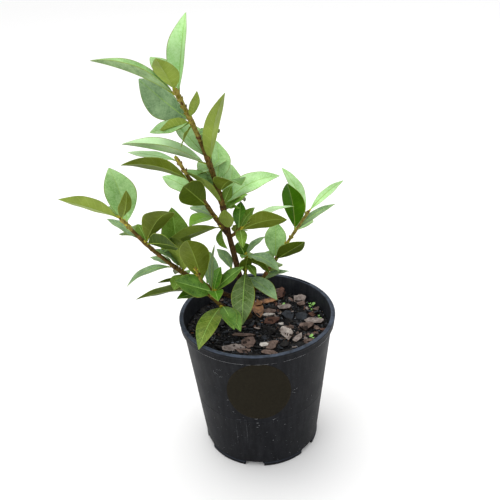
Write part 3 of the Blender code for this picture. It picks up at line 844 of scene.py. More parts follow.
chips = Gathering()
dice = random.Random("bark chips")
taken = []
for x, y, bearing, length, width, thick, tilt, roll, tone in CHIPS:
    sizes = [v * MM for v in (length, width, thick)]
    chips.add(*chip(dice, x * MM, y * MM, bearing, *sizes, tilt, roll, tone))
    taken.append((x * MM, y * MM, max(sizes[0], sizes[1]) * 0.4))
for k in range(SCATTERED_CHIPS):
    length = dice.uniform(3, 9) * MM
    x, y = random_spot(dice, mix_edge - length * 0.45)
    if any(math.hypot(x - a, y - b) < reach + length * 0.2 for a, b, reach in taken):
        continue
    taken.append((x, y, length * 0.25))
    weights = (9, 6, 2.5, 3, 1.2) if on_right(x, y) else (12, 4, 0.5, 0.7, 0.2)
    tone = dice.choices(("dark", "slate", "red", "brown", "grey"), weights)[0]
    sizes = (length, length * dice.uniform(0.35, 0.75), length * dice.uniform(0.16, 0.3))
    turns = (dice.uniform(0, 360), dice.uniform(-14, 18), dice.uniform(-18, 18))
    chips.add(*chip(dice, x, y, turns[0], *sizes, *turns[1:], tone))
chips.piece("bark_chips", "bark_mix", sharp=28)


# Litter and seedlings
# Dead leaves curled on the mix, white perlite grains, orange bark dust, and the round seed
# leaves of a few tiny weeds near the right-hand wall.

perlite, tree, shader = material("white perlite", 0.9)
two_toned(tree, shader, "cfcbc4", "f2efe9", 900, 3)
orange_bark, tree, shader = material("orange bark dust", 0.85)
two_toned(tree, shader, "8a4f22", "d08a4a", 700, 3)
seedling_green, tree, shader = material("bright seedling leaf", 0.45)
two_toned(tree, shader, "78b845", "a9dc7d", 700, 2.5)

GRAINS = [
    (-26.5, -4.0, 0.9, "perlite"), (-26.0, -6.5, 0.7, "perlite"), (-28.0, -5.5, 0.6, "perlite"),
    (46.5, -19.0, 0.8, "perlite"), (31.0, 5.0, 0.7, "perlite"), (60.0, 14.0, 0.8, "perlite"),
    (-36.0, -3.1, 1.0, "orange"), (-34.0, -7.0, 0.7, "orange"), (-57.0, 2.0, 1.2, "orange"),
    (-59.0, -5.0, 1.0, "orange"), (4.0, 5.0, 0.6, "orange"), (-46.0, -21.0, 0.7, "orange"),
]
litter = Gathering()
dice = random.Random("litter")
for x, y, size, kind in GRAINS:
    look = perlite if kind == "perlite" else orange_bark
    litter.add(lump(dice, x * MM, y * MM, size * MM, 0.9), OCTAHEDRON_FACES, look)
for k in range(46):
    x, y = random_spot(dice, mix_edge - 2 * MM)
    look = perlite if k % 3 == 0 else orange_bark
    litter.add(lump(dice, x, y, dice.uniform(0.25, 0.55) * MM, 0.8), OCTAHEDRON_FACES, look)

# Dead leaves: middle, bearing, length, width, how far each curls
dead_leaf_skin, tree, shader = material("dead leaf", 0.7)
two_toned(tree, shader, "4a2f1c", "b07e52", 170, 3.2)
bumped(tree, shader, placed(tree, grain, Scale=900).outputs["Height"], 0.6, 0.4 * MM)
DEAD_LEAVES = [((1.0, 24.5), 98, 25, 11, 0.22), ((10.0, 40.0), 8, 22, 8, 0.12)]
DEAD_ROWS = 16
DEAD_COLUMNS = 8
DEAD_THICK = 0.3
DEAD_LIFT = 1.6 * MM
wide = DEAD_COLUMNS + 1
row = 2 * wide
for (x, y), bearing, length, width, curl in DEAD_LEAVES:
    turn = Matrix.Rotation(math.radians(bearing), 3, "Z")
    middle = Vector((x * MM, y * MM, mix_height(x * MM, y * MM) + DEAD_LIFT))
    points, faces = [], []
    for i in range(DEAD_ROWS + 1):
        share = i / DEAD_ROWS
        half = width / 2 * math.sin(math.pi * (0.06 + 0.88 * share)) ** 0.8
        for under in (0, 1):
            for j in range(wide):
                u = 2 * j / DEAD_COLUMNS - 1
                arch = curl * length * (0.5 * share**2 + 0.9 * u**2 * (0.4 + share)) * 0.5
                crinkle = 0.5 * noise.noise(Vector((share * 6, u * 2.2, bearing)))
                height = arch + crinkle - DEAD_THICK * under
                spot = Vector(((share - 0.5) * length, u * half * (1 - 0.25 * curl), height))
                points.append(middle + turn @ spot * MM)
    for i in range(DEAD_ROWS):
        for j in range(DEAD_COLUMNS):
            top = i * row + j
            low = top + wide
            faces.append([top, top + row, top + row + 1, top + 1])
            faces.append([low, low + 1, low + row + 1, low + row])
        for j, way in ((0, 1), (DEAD_COLUMNS, -1)):
            top = i * row + j
            faces.append([top, top + wide, top + row + wide, top + row][::way])
    tip = DEAD_ROWS * row
    faces.append([*range(0, wide), *range(row - 1, wide - 1, -1)])
    faces.append([tip + k for k in [*range(wide - 1, -1, -1), *range(wide, row)]])
    litter.add(points, faces, dead_leaf_skin)
litter.piece("litter", "bark_mix", sharp=50)

# Seedlings: place, and the radius of each round seed leaf
SEEDLINGS = [
    (25.6, 34.2, 1.0), (53.5, 30.5, 1.5), (50.4, 32.3, 0.8), (50.3, 26.6, 0.8), (51.0, 20.8, 0.6),
    (46.8, -21.8, 1.4), (48.2, -25.0, 0.6), (56.6, 9.6, 0.6), (57.8, 7.0, 0.6),
]
SEED_LEAF_SIDES = 16
SEED_LEAF_HEIGHT = 2.4 * MM
STALK_SIDES = 6
STALK_RADIUS = 0.22
STALK_HEIGHTS = (-0.5, 1.3, 2.6)


def tube(rings):
    # A closed skin over rings of equal count, with a flat face at each end
    count = len(rings[0])
    points = [p for ring in rings for p in ring]
    faces = []
    for i in range(len(rings) - 1):
        for k in range(count):
            n = (k + 1) % count
            faces.append([i * count + k, i * count + n, (i + 1) * count + n, (i + 1) * count + k])
    faces.append([count - 1 - k for k in range(count)])
    faces.append([(len(rings) - 1) * count + k for k in range(count)])
    return points, faces


sprouts = Gathering()
dice = random.Random("seedlings")
for x, y, radius in SEEDLINGS:
    foot = Vector((x * MM, y * MM, mix_height(x * MM, y * MM)))
    for side in (0, 1):
        bearing = dice.uniform(0, math.tau) if side == 0 else bearing + math.pi
        out = Vector((math.cos(bearing), math.sin(bearing), 0.25))
        middle = foot + out * radius * MM * 0.8 + Vector((0, 0, SEED_LEAF_HEIGHT))
        across = Vector((-out.y, out.x, 0))
        points = [middle - Vector((0, 0, 0.1 * MM)), middle - Vector((0, 0, 0.35 * MM))]
        faces = []
        for k in range(SEED_LEAF_SIDES):
            angle = math.tau * k / SEED_LEAF_SIDES
            spot = middle + (out * math.cos(angle) + across * math.sin(angle)) * radius * MM
            points += [spot + Vector((0, 0, 0.1 * MM)), spot - Vector((0, 0, 0.15 * MM))]
            here, there = 2 + 2 * k, 2 + 2 * ((k + 1) % SEED_LEAF_SIDES)
            faces += [[0, here, there], [1, there + 1, here + 1], [here, here + 1, there + 1, there]]
        sprouts.add(points, faces, seedling_green)
    rings = []
    for height in STALK_HEIGHTS:
        turns = [math.tau * k / STALK_SIDES for k in range(STALK_SIDES)]
        spots = [Vector((math.cos(a) * STALK_RADIUS, math.sin(a) * STALK_RADIUS, height)) for a in turns]
        rings.append([foot + spot * MM for spot in spots])
    sprouts.add(*tube(rings), seedling_green)
sprouts.piece("weed_seedlings", "leaves")


# The stems
# One main stem twines up out of the mix and forks; thin side shoots climb out of it. Young
# bark, brown and finely furrowed, with a swollen node where each leaf joins.

# Millimetres: start, end, bow at the middle, and the radius at each end
SHOOTS = {
    "main": ((-9, 17, 118.3), (-21, 14, 203), (1, 0, 0), 3.4, 2.4),
    "leader": ((-21, 14, 203), (-55, 0, 338), (5, 4, 0), 2.3, 1.7),
    "upper": ((-21, 14, 203), (-59, 2, 282), (-1, 0, 0), 1.9, 1.4),
    "stub": ((-21, 14, 203), (-11, 9, 213), (1, 0, 0), 1.5, 1.1),
    "left": ((-13, 16, 137), (-108, -9, 236), (-4, -4, -7), 2.2, 1.4),
    "right": ((-11, 17, 132), (49, 28, 217), (0, 3, -2), 2.0, 1.1),
    "front": ((-11, 14, 125), (-50, -17, 192), (-5, -9, -5), 2.0, 1.0),
    "rosette": ((-40, -13, 160), (-36, -18, 167), (0, 0, 0), 1.3, 1.0),
    "centre": ((-14, 16, 145), (-8, 17, 182), (2, 1, 0), 1.6, 1.0),
    "spur": ((-17, 15, 166), (-20, 12, 171), (0, 0, 0), 1.2, 0.9),
}

# Leaves: place along the shoot, bearing, rise, length, width, turn and bow, the tones of the
# upper and under sides, then the fold where it isn't the usual one. Millimetres and degrees.
# A leaf's length runs from the stem to its tip. Its turn rolls the upper side to the right,
# seen from the stem. Bow is how far the blade arches, and fold how far its halves lift, as
# shares of its length and of a half's width.
# Each leaf's tones are picked by how lit or shaded it looks, so they carry painted sheen, light and shade
LEAVES = {
    "leader": [
        (0.955, 71, 65, 64, 21, -23, 0.02, "light", "olive", 0.58),
        (0.99, -107, 46, 44, 19, 5, 0.02, "mid", "light"),
        (0.985, 125, 30, 42, 18, 0, 0.10, "pale", "olive"),
        (0.955, 178, 25, 71, 22, 7, 0.05, "pale", "silver", 0.68),
        (0.80, 152, 33, 55, 29, -90, 0.03, "cool", "olive", 0.38),
        (0.82, -60, 56, 30, 9, 0, -0.06, "mid", "light", 0.1),
        (0.80, -169, -10, 34, 14, -30, 0.00, "light", "olive"),
        (0.79, -155, -3, 27, 15, 60, 0.03, "mid", "light"),
        (0.55, 152, 42, 41, 24, -10, 0.03, "light", "light", 0.4),
        (0.47, 150, -28, 21, 13, 0, 0.05, "pale", "olive"),
        (0.78, -119, -34, 23, 9, 60, 0.03, "mid", "olive"),
        (0.50, -49, 69, 70, 19, 5, 0.07, "mid", "light"),
        (0.38, 89, 33, 45, 22, 44, 0.06, "pale", "olive", 0.33),
        (0.37, 117, 15, 37, 15, 0, 0.06, "pale", "light"),
        (0.51, 178, 16, 73, 24, 5, 0.03, "bright", "chalk", 0.67),
        (0.31, -54, 28, 37, 28, -15, 0.20, "gloss", "olive"),
        (0.22, 9, 24, 55, 22, 20, 0.15, "light", "olive"),
        (0.25, 74, 29, 41, 28, 60, 0.08, "pale", "olive", 0.3),
        (0.22, 26, 61, 19, 10, 40, 0.06, "mid", "olive"),
        (0.18, 35, 20, 27, 14, 0, 0.10, "fresh", "olive"),
        (0.21, -171, 49, 50, 19, -2, 0.07, "pale", "light", 0.73),
        (0.20, 10, -5, 15, 8, 0, 0.10, "fresh", "olive"),
    ],
    "upper": [
        (0.97, 161, 5, 45, 13, -5, 0.02, "bright", "olive", 0.1),
        (0.72, -168, 21, 59, 20, 50, 0.12, "mid", "olive"),
        (0.50, 146, 17, 44, 22, -10, 0.06, "light", "olive"),
        (0.40, -120, 44, 45, 24, 60, 0.08, "mid", "shade"),
        (0.27, 137, 2, 31, 16, 0, 0.05, "cool", "olive"),
        (0.27, -138, 3, 28, 20, 0, 0.10, "fresh", "olive"),
        (0.14, -166, -15, 57, 19, 60, 0.09, "mid", "light"),
        (0.24, -36, 12, 19, 16, -90, 0.05, "mid", "light", 0.1),
        (0.14, -71, -50, 20, 12, 74, 0.10, "mid", "olive", 0.6),
    ],
    "stub": [
        (0.45, -60, 75, 10, 7, 0, 0.10, "fresh", "olive"),
        (0.70, -27, 22, 50, 20, -65, 0.10, "mid", "olive"),
        (1.00, 9, 18, 50, 10, 0, 0.10, "bright", "olive"),
        (0.90, 26, 48, 23, 16, 0, 0.06, "mid", "olive"),
        (0.80, 80, 50, 26, 12, 0, 0.06, "gloss", "olive"),
        (0.90, -83, -22, 21, 10, 0, 0.20, "mid", "olive"),
    ],
    "left": [
        (1.00, -170, 26, 52, 19, 55, 0.03, "mid", "light", 0.36),
        (0.94, 121, 58, 51, 27, 0, 0.13, "pale", "olive"),
        (1.00, -58, 58, 37, 12, 0, -0.10, "mid", "olive"),
        (0.98, 145, 24, 21, 12, 0, 0.10, "pale", "olive"),
        (0.80, 150, 21, 41, 12, 0, 0.05, "cool", "olive"),
        (0.79, -38, 47, 51, 25, -32, 0.15, "mid", "olive"),
        (0.79, -36, 9, 36, 24, -60, 0.05, "deep", "dark"),
        (0.78, 125, 45, 20, 14, 0, 0.10, "mid", "olive"),
        (0.74, 10, -45, 30, 14, 0, 0.10, "cool", "olive"),
        (0.55, 150, 8, 26, 11, 0, 0.08, "cool", "olive"),
        (0.55, 180, -22, 47, 11, -10, 0.15, "cool", "olive"),
        (0.25, -170, -1, 67, 21, 50, 0.05, "mid", "shade"),
        (0.30, 175, 3, 43, 9, 60, 0.10, "mid", "olive"),
        (0.47, -125, -29, 18, 16, 0, 0.05, "mid", "olive"),
        (0.50, 101, 54, 57, 26, 0, -0.02, "mid", "olive", 0.3),
        (0.47, -108, 68, 48, 22, 0, 0.06, "mid", "light"),
    ],
    "front": [
        (0.78, -112, 68, 57, 25, 24, 0.10, "mid", "olive", 0.3),
        (0.60, -153, 13, 32, 17, 0, 0.10, "deep", "shade"),
        (0.38, -112, -13, 53, 19, 0, 0.10, "yellowing", "olive"),
        (0.38, -71, -9, 33, 14, 0, 0.10, "glossy", "olive"),
        (0.37, -64, -10, 36, 14, 0, 0.10, "glossy", "olive"),
    ],
    "rosette": [
        (0.90, 95, 52, 36, 13, 0, 0.06, "cool", "olive"),
        (1.00, -160, 30, 38, 22, -35, 0.00, "glossy", "olive"),
        (1.00, 46, 63, 23, 13, 0, 0.06, "gloss", "olive"),
        (1.00, 12, 37, 34, 13, 20, 0.06, "glossy", "olive"),
        (1.00, -79, 13, 25, 13, 0, 0.15, "gloss", "olive"),
        (0.80, -67, 76, 54, 8, 35, 0.04, "mid", "cool"),
    ],
    "centre": [
        (0.50, -75, 62, 26, 12, 0, 0.06, "deep", "shade"),
        (0.60, -97, -40, 51, 21, 0, 0.10, "mottled", "olive"),
        (0.42, -40, -18, 38, 18, 0, 0.10, "cool", "shade"),
        (1.00, -38, -7, 37, 16, 0, 0.15, "cool", "olive"),
        (0.90, -30, -21, 26, 18, -60, 0.10, "mid", "shade"),
        (0.80, -60, -20, 18, 8, 0, 0.10, "mid", "olive"),
        (0.95, 118, 33, 17, 16, 0, 0.10, "deep", "olive"),
        (1.00, -100, 20, 17, 7, 0, 0.10, "gloss", "olive"),
        (1.00, 27, 33, 25, 9, 0, 0.10, "cool", "olive"),
    ],
    "spur": [
        (1.00, 139, 42, 24, 12, 0, 0.10, "cool", "olive"),
    ],
    "right": [
        (0.50, 85, 47, 36, 20, 0, 0.05, "pale", "olive"),
        (0.50, -50, 40, 49, 18, -40, 0.00, "mid", "shade"),
        (0.80, -117, 74, 54, 22, 0, 0.08, "deep", "green"),
        (0.97, 137, 55, 47, 15, 0, 0.08, "light", "olive"),
        (1.00, 23, 33, 42, 8, 30, 0.10, "light", "olive"),
        (0.80, 19, 26, 44, 8, 20, 0.10, "cool", "olive"),
        (0.25, 32, 0, 33, 10, 0, 0.10, "cool", "olive"),
    ],
}

# Shares of each shoot at which its bark turns from old to young, and from young to yellow brown
BARK_ENDS = {
    "main": (2, 2),
    "leader": (0.22, 0.66),
    "upper": (0.12, 0.8),
    "stub": (0, 0.5),
    "left": (0.16, 0.9),
    "right": (0.30, 0.62),
    "front": (0.42, 0.8),
    "rosette": (0, 0.1),
    "centre": (0.1, 0.8),
    "spur": (0, 0),
}

# Bare limbs: node name, shoot, and the share of the shoot that carries no leaves
LIMBS = [("left_bough", "left", 0.18), ("right_bough", "right", 0.22), ("front_bough", "front", 0.33)]

SPAN = 9 * MM
JOINT_SWELL = 0.18
ROOT_FLARE = 0.5
FLARE_FADE = 5 * MM
RING_STEP = 0.8 * MM
STEM_SIDES = 20
FURROW = 0.05
NODE_RING = 0.9 * MM
NODE_SWELL = 0.14
TIP_ROUNDING = ((0.5, 0.95), (1.1, 0.7), (1.7, 0.35), (2.0, 0.08))


def along(shoot, place):
    start, end, bow = (Vector(v) * MM for v in SHOOTS[shoot][:3])
    return start * (1 - place) + end * place + bow * 4 * place * (1 - place)


def shoot_length(shoot):
    return (along(shoot, 1) - along(shoot, 0)).length


def heading(shoot, place):
    step = 0.01
    return (along(shoot, place + step) - along(shoot, place - step)).normalized()


def thickness(shoot, place):
    first, last = SHOOTS[shoot][3:]
    return (first + (last - first) * place) * MM


def bark(name, dark, light, roughness):
    look, tree, shader = material(name, roughness, Specular_IOR_Level=0.12)
    two_toned(tree, shader, dark, light, 420, 3)
    bumped(tree, shader, placed(tree, grain, Scale=2400).outputs["Height"], 0.5, 0.2 * MM)
    return look


old_bark = bark("brown old bark", "261a0e", "5a4224", 0.75)
young_bark = bark("brown young bark", "352409", "6e5a26", 0.65)
green_bark = bark("green shoot bark", "5d6a10", "9a9a2c", 0.5)
tip_bark = bark("yellow brown shoot bark", "62561f", "9c8e44", 0.6)
scale_skin = bark("bud scale", "928a1c", "c8bc44", 0.5)
knob_bark = bark("brown node", "4a2e16", "7c5a30", 0.7)


def bark_at(place, old_until, young_until):
    return old_bark if place < old_until else young_bark if place < young_until else tip_bark


def circle_round(middle, ahead, radius, sides, ripple=None):
    across = ahead.cross(Vector((0, 1, 0)))
    if across.length < 0.05:
        across = ahead.cross(Vector((1, 0, 0)))
    across.normalize()
    other = ahead.cross(across)
    ring = []
    for k in range(sides):
        angle = math.tau * k / sides
        reach = radius * (ripple(angle) if ripple else 1)
        ring.append(middle + (across * math.cos(angle) + other * math.sin(angle)) * reach)
    return ring


def grow_stem(gathered, shoot, first, last, flare=0.0):
    # A tapering stem with furrows and swollen nodes, and a rounded green tip where a shoot ends
    joints = [leaf[0] for leaf in LEAVES.get(shoot, [])]
    whole = shoot_length(shoot)
    spans = max(4, round((last - first) * whole / RING_STEP))
    rings, looks = [], []
    for k in range(spans + 1):
        place = first + (last - first) * k / spans
        near = min([abs(place - joint) for joint in joints], default=1) * whole
        swell = 1 + JOINT_SWELL * max(0, 1 - near / SPAN)
        swell += NODE_SWELL * math.exp(-((near / NODE_RING) ** 2))
        swell += flare * math.exp(-place * whole / FLARE_FADE)
        middle = along(shoot, place)

        def furrows(angle, height=place * whole * 1000, swell=swell):
            x, y = math.cos(angle), math.sin(angle)
            lines = noise.noise(Vector((x * 3.2, y * 3.2, height * 0.10)))
            knots = noise.noise(Vector((x * 1.3, y * 1.3, height * 0.45 + 20)))
            return swell * (1 + FURROW * lines + FURROW * 0.8 * knots)

        radius = thickness(shoot, place)
        rings.append(circle_round(middle, heading(shoot, place), radius, STEM_SIDES, furrows))
        looks.append(bark_at(place + 0.03 * noise.noise(middle * 900), *BARK_ENDS[shoot]))
    if last == 1 and shoot != "main":
        tip = heading(shoot, 1)
        for share, reach in TIP_ROUNDING:
            middle = along(shoot, 1) + tip * thickness(shoot, 1) * share
            rings.append(circle_round(middle, tip, thickness(shoot, 1) * reach, STEM_SIDES))
            looks.append(green_bark)
    points, faces = tube(rings)
    face_looks = [looks[i] for i in range(len(rings) - 1) for k in range(STEM_SIDES)]
    gathered.add(points, faces, face_looks + [looks[0], looks[-1]])


stem = Gathering()
grow_stem(stem, "main", 0, 1, ROOT_FLARE)
stem.piece("main_stem_bark", "stem_bark", ["main_stem"])
for name, shoot, last in LIMBS:
    limb = Gathering()
    grow_stem(limb, shoot, 0, last)
    limb.piece(name + "_bark", "stem_bark", [name])


# The leaves
# Leathery ovals in pairs, glossy above and dull beneath, each folded a little along a pale
# midrib, with a thin pale margin, on a short yellow-green stalk. Blades, ribs and side veins
# are one mesh for each mass of foliage; their twigs and stalks are another.

STALK_SHARE = 0.08
STALK_WIDTH = 1.4 * MM
USUAL_FOLD = 0.2
LEAF_THICK = 0.42 * MM
EDGE_THICK = 0.24 * MM
SIDE_VEINS = 7
VEIN_RUN = (0.06, 0.92)
VEIN_WIDTH = 0.28 * MM
VEIN_SLANT = 0.17
MIDRIB_HALF = 0.42 * MM
MIDRIB_GROOVE = 0.16 * MM
MIDRIB_KEEL = 0.55 * MM
RIB_ROOM = 0.9 * MM
PUFF = 0.16 * MM
STALK_RUN = 0.14
STALK_RINGS = 8
LEAF_STALK_SIDES = 10
FAR_SPREAD = 40
SEED = "potted asian jasmine "
FAR_LEAVES = {"leader": 6, "left": 4, "right": 3, "centre": 1, "stub": 1}
FIELD = (0.0, 0.2, 0.42, 0.64, 0.83, 0.955, 1.0)
NODE_RINGS = ((-1.5, 1.0), (-0.9, 1.12), (-0.3, 1.22), (0.3, 1.2), (0.9, 1.1), (1.5, 1.0))
NODE_SIDES = 12
BUD_SIZE = (3.4 * MM, 1.05 * MM)
BUD_RINGS = ((0, 0.7), (0.3, 1), (0.65, 0.75), (1, 0.12))
BUD_SIDES = 8
SCALE_STEP = 3.2 * MM
SCALY = {
    "leader": (0.84, 1.0),
    "upper": (0.84, 1.0),
    "right": (0.66, 0.76),
    "left": (0.92, 1.0),
    "front": (0.9, 1.0),
}

skin, ends_in, ends_out = group(
    "leaf skin",
    {"Colour": "colour", "Blotch": "colour", "Amount": "value"},
    {"Colour": "colour", "Roughness": "value", "Height": "value"},
)
place = skin.nodes.new("ShaderNodeTexCoord")
slow = node(skin, "ShaderNodeTexNoise", Scale=38, Detail=2, Roughness=0.5)
broad = node(skin, "ShaderNodeTexNoise", Scale=120, Detail=6, Roughness=0.66)
speckle = node(skin, "ShaderNodeTexNoise", Scale=760, Detail=4, Roughness=0.65)
cells = node(skin, "ShaderNodeTexNoise", Scale=1700, Detail=2, Roughness=0.5)
for pattern in (slow, broad, speckle, cells):
    skin.links.new(place.outputs["Object"], pattern.inputs["Vector"])
skin_tone = ends_in.outputs["Colour"]
for pattern, low, high in ((broad, 0.38, 0.7), (speckle, 0.42, 0.74)):
    strength = node(skin, "ShaderNodeMath", operation="MULTIPLY", use_clamp=True)
    skin.links.new(ranged(skin, pattern.outputs["Fac"], low, high), strength.inputs[0])
    skin.links.new(ends_in.outputs["Amount"], strength.inputs[1])
    skin_tone = colour_mix(skin, strength.outputs[0], skin_tone, ends_in.outputs["Blotch"])
depth = node(skin, "ShaderNodeHueSaturation")
skin.links.new(skin_tone, depth.inputs["Color"])
skin.links.new(ranged(skin, slow.outputs["Fac"], 0.35, 0.65, 0.8, 1.14), depth.inputs["Value"])
skin.links.new(depth.outputs["Color"], ends_out.inputs["Colour"])
skin.links.new(ranged(skin, broad.outputs["Fac"], 0.3, 0.7, 0.4, 0.55), ends_out.inputs["Roughness"])
skin.links.new(cells.outputs["Fac"], ends_out.inputs["Height"])


def leaf_skin(name, colour, blotch, amount, sheen):
    look, tree, shader = material(name, 0.4, Specular_IOR_Level=sheen)
    made = placed(tree, skin, Colour=rgb(colour), Blotch=rgb(blotch), Amount=amount)
    tree.links.new(made.outputs["Colour"], shader.inputs["Base Color"])
    tree.links.new(made.outputs["Roughness"], shader.inputs["Roughness"])
    bumped(tree, shader, made.outputs["Height"], 0.15, 0.1 * MM)
    return look


# Upper and under tones: blade, blotch, how strong the blotches are, gloss, and vein. These are lit and
# shaded copies of one leaf skin: light, pale, bright and cool above and light, chalk and silver beneath
# carry painted sky sheen and light, and shade and dark beneath carry painted shade
UPPER_TONES = {
    "light": ("98cc78", "cdefb8", 0.7, 0.15, "b9e09a"),
    "pale": ("78a658", "b2d896", 0.75, 0.15, "9cc47c"),
    "cool": ("587c4c", "9cba88", 0.75, 0.2, "8aa878"),
    "fresh": ("6fa52c", "9cc850", 0.5, 0.15, "9cc860"),
    "bright": ("bce4a6", "d8f2ca", 0.6, 0.15, "c8e8b0"),
    "mottled": ("435c18", "76905a", 0.7, 0.3, "98aa68"),
    "glossy": ("345a08", "6c9834", 0.8, 0.4, "5c8a2c"),
    "yellowing": ("3e6008", "86983a", 0.75, 0.35, "9cb44c"),
    "mid": ("4e6e10", "789a40", 0.75, 0.15, "78963c"),
    "gloss": ("386a02", "629624", 0.7, 0.35, "68a024"),
    "deep": ("335400", "466c0c", 0.6, 0.1, "4c7c1a"),
}
UNDER_TONES = {
    "light": ("7c8f34", "94a650", 0.5, 0.1, "98a856"),
    "olive": ("566412", "6e7c32", 0.5, 0.1, "727e34"),
    "shade": ("42540c", "54641c", 0.5, 0.08, "5c6a26"),
    "green": ("3a6800", "4a7a0a", 0.5, 0.08, "52801a"),
    "chalk": ("92aa7a", "b0c49a", 0.6, 0.1, "a4b88c"),
    "silver": ("607c48", "9cb882", 0.7, 0.1, "94a878"),
    "cool": ("5c7450", "7a9068", 0.6, 0.1, "869a74"),
    "dark": ("2e4204", "40540e", 0.5, 0.08, "50641c"),
}
tones = {}
for side, table in (("upper", UPPER_TONES), ("under", UNDER_TONES)):
    for name, (blade, blotch, amount, sheen, vein) in table.items():
        called = f"{name} {side} side"
        tones[side, name] = leaf_skin(called, blade, blotch, amount, sheen)
        tones[side, name, "vein"] = leaf_skin(called + " vein", vein, blotch, 0.2, sheen)
upper_rib = leaf_skin("midrib above", "8fb858", "a8cc70", 0.4, 0.15)
under_rib = leaf_skin("midrib beneath", "7c9038", "8c9e4a", 0.4, 0.1)
margin_skin = leaf_skin("leaf margin", "7c9c40", "94803c", 0.5, 0.1)
stalk_skin = leaf_skin("leaf stalk", "7f9420", "a09428", 0.5, 0.15)


def far_leaves(shoot):
    # Leaves on the far side, by the seeded rule of the solids; their tones are dealt in turn
    dice = random.Random(SEED + shoot)
    made = []
    for k in range(FAR_LEAVES.get(shoot, 0)):
        place = 0.25 + 0.6 * (k + dice.random()) / FAR_LEAVES[shoot]
        bearing = 90 + FAR_SPREAD * (1 if k % 2 else -1) * dice.uniform(0.2, 1)
        length = dice.uniform(30, 42)
        row = (place, bearing, dice.uniform(-24, -2), length, 0.46 * length, dice.uniform(-20, 20), 0.1)
        made.append((*row, ("mid", "gloss", "pale")[k % 3], "olive"))
    return made


def leaf_axes(bearing, rise, turn):
    b, r, q = math.radians(bearing), math.radians(rise), math.radians(turn)
    ahead = Vector((math.cos(b) * math.cos(r), math.sin(b) * math.cos(r), math.sin(r)))
    up = Vector((-math.cos(b) * math.sin(r), -math.sin(b) * math.sin(r), math.cos(r)))
    right = Vector((math.sin(b), -math.cos(b), 0))
    normal = up * math.cos(q) + right * math.sin(q)
    side = right * math.cos(q) - up * math.sin(q)
    return ahead, side, normal


def half_width(t):
    # A leathery oval with a short point, as a share of the widest half
    return math.sin(math.pi * min(max(t, 0), 1)) ** 0.75 * (1 - 0.3 * t**5)


def blade_rows(length):
    # Shares along the midrib, with the side whose vein runs in the strip that starts there
    rows = [(0.0, None), (0.025, None)]
    count = 2 * SIDE_VEINS
    pitch = (VEIN_RUN[1] - VEIN_RUN[0]) / count
    for k in range(count):
        middle = VEIN_RUN[0] + pitch * (k + 0.5)
        strip = VEIN_WIDTH / length
        rows += [(middle - strip / 2, k % 2), (middle + strip / 2, None), (middle + pitch / 2, None)]
    rows += [(0.955, None), (0.985, None), (1.0, None)]
    return rows, pitch


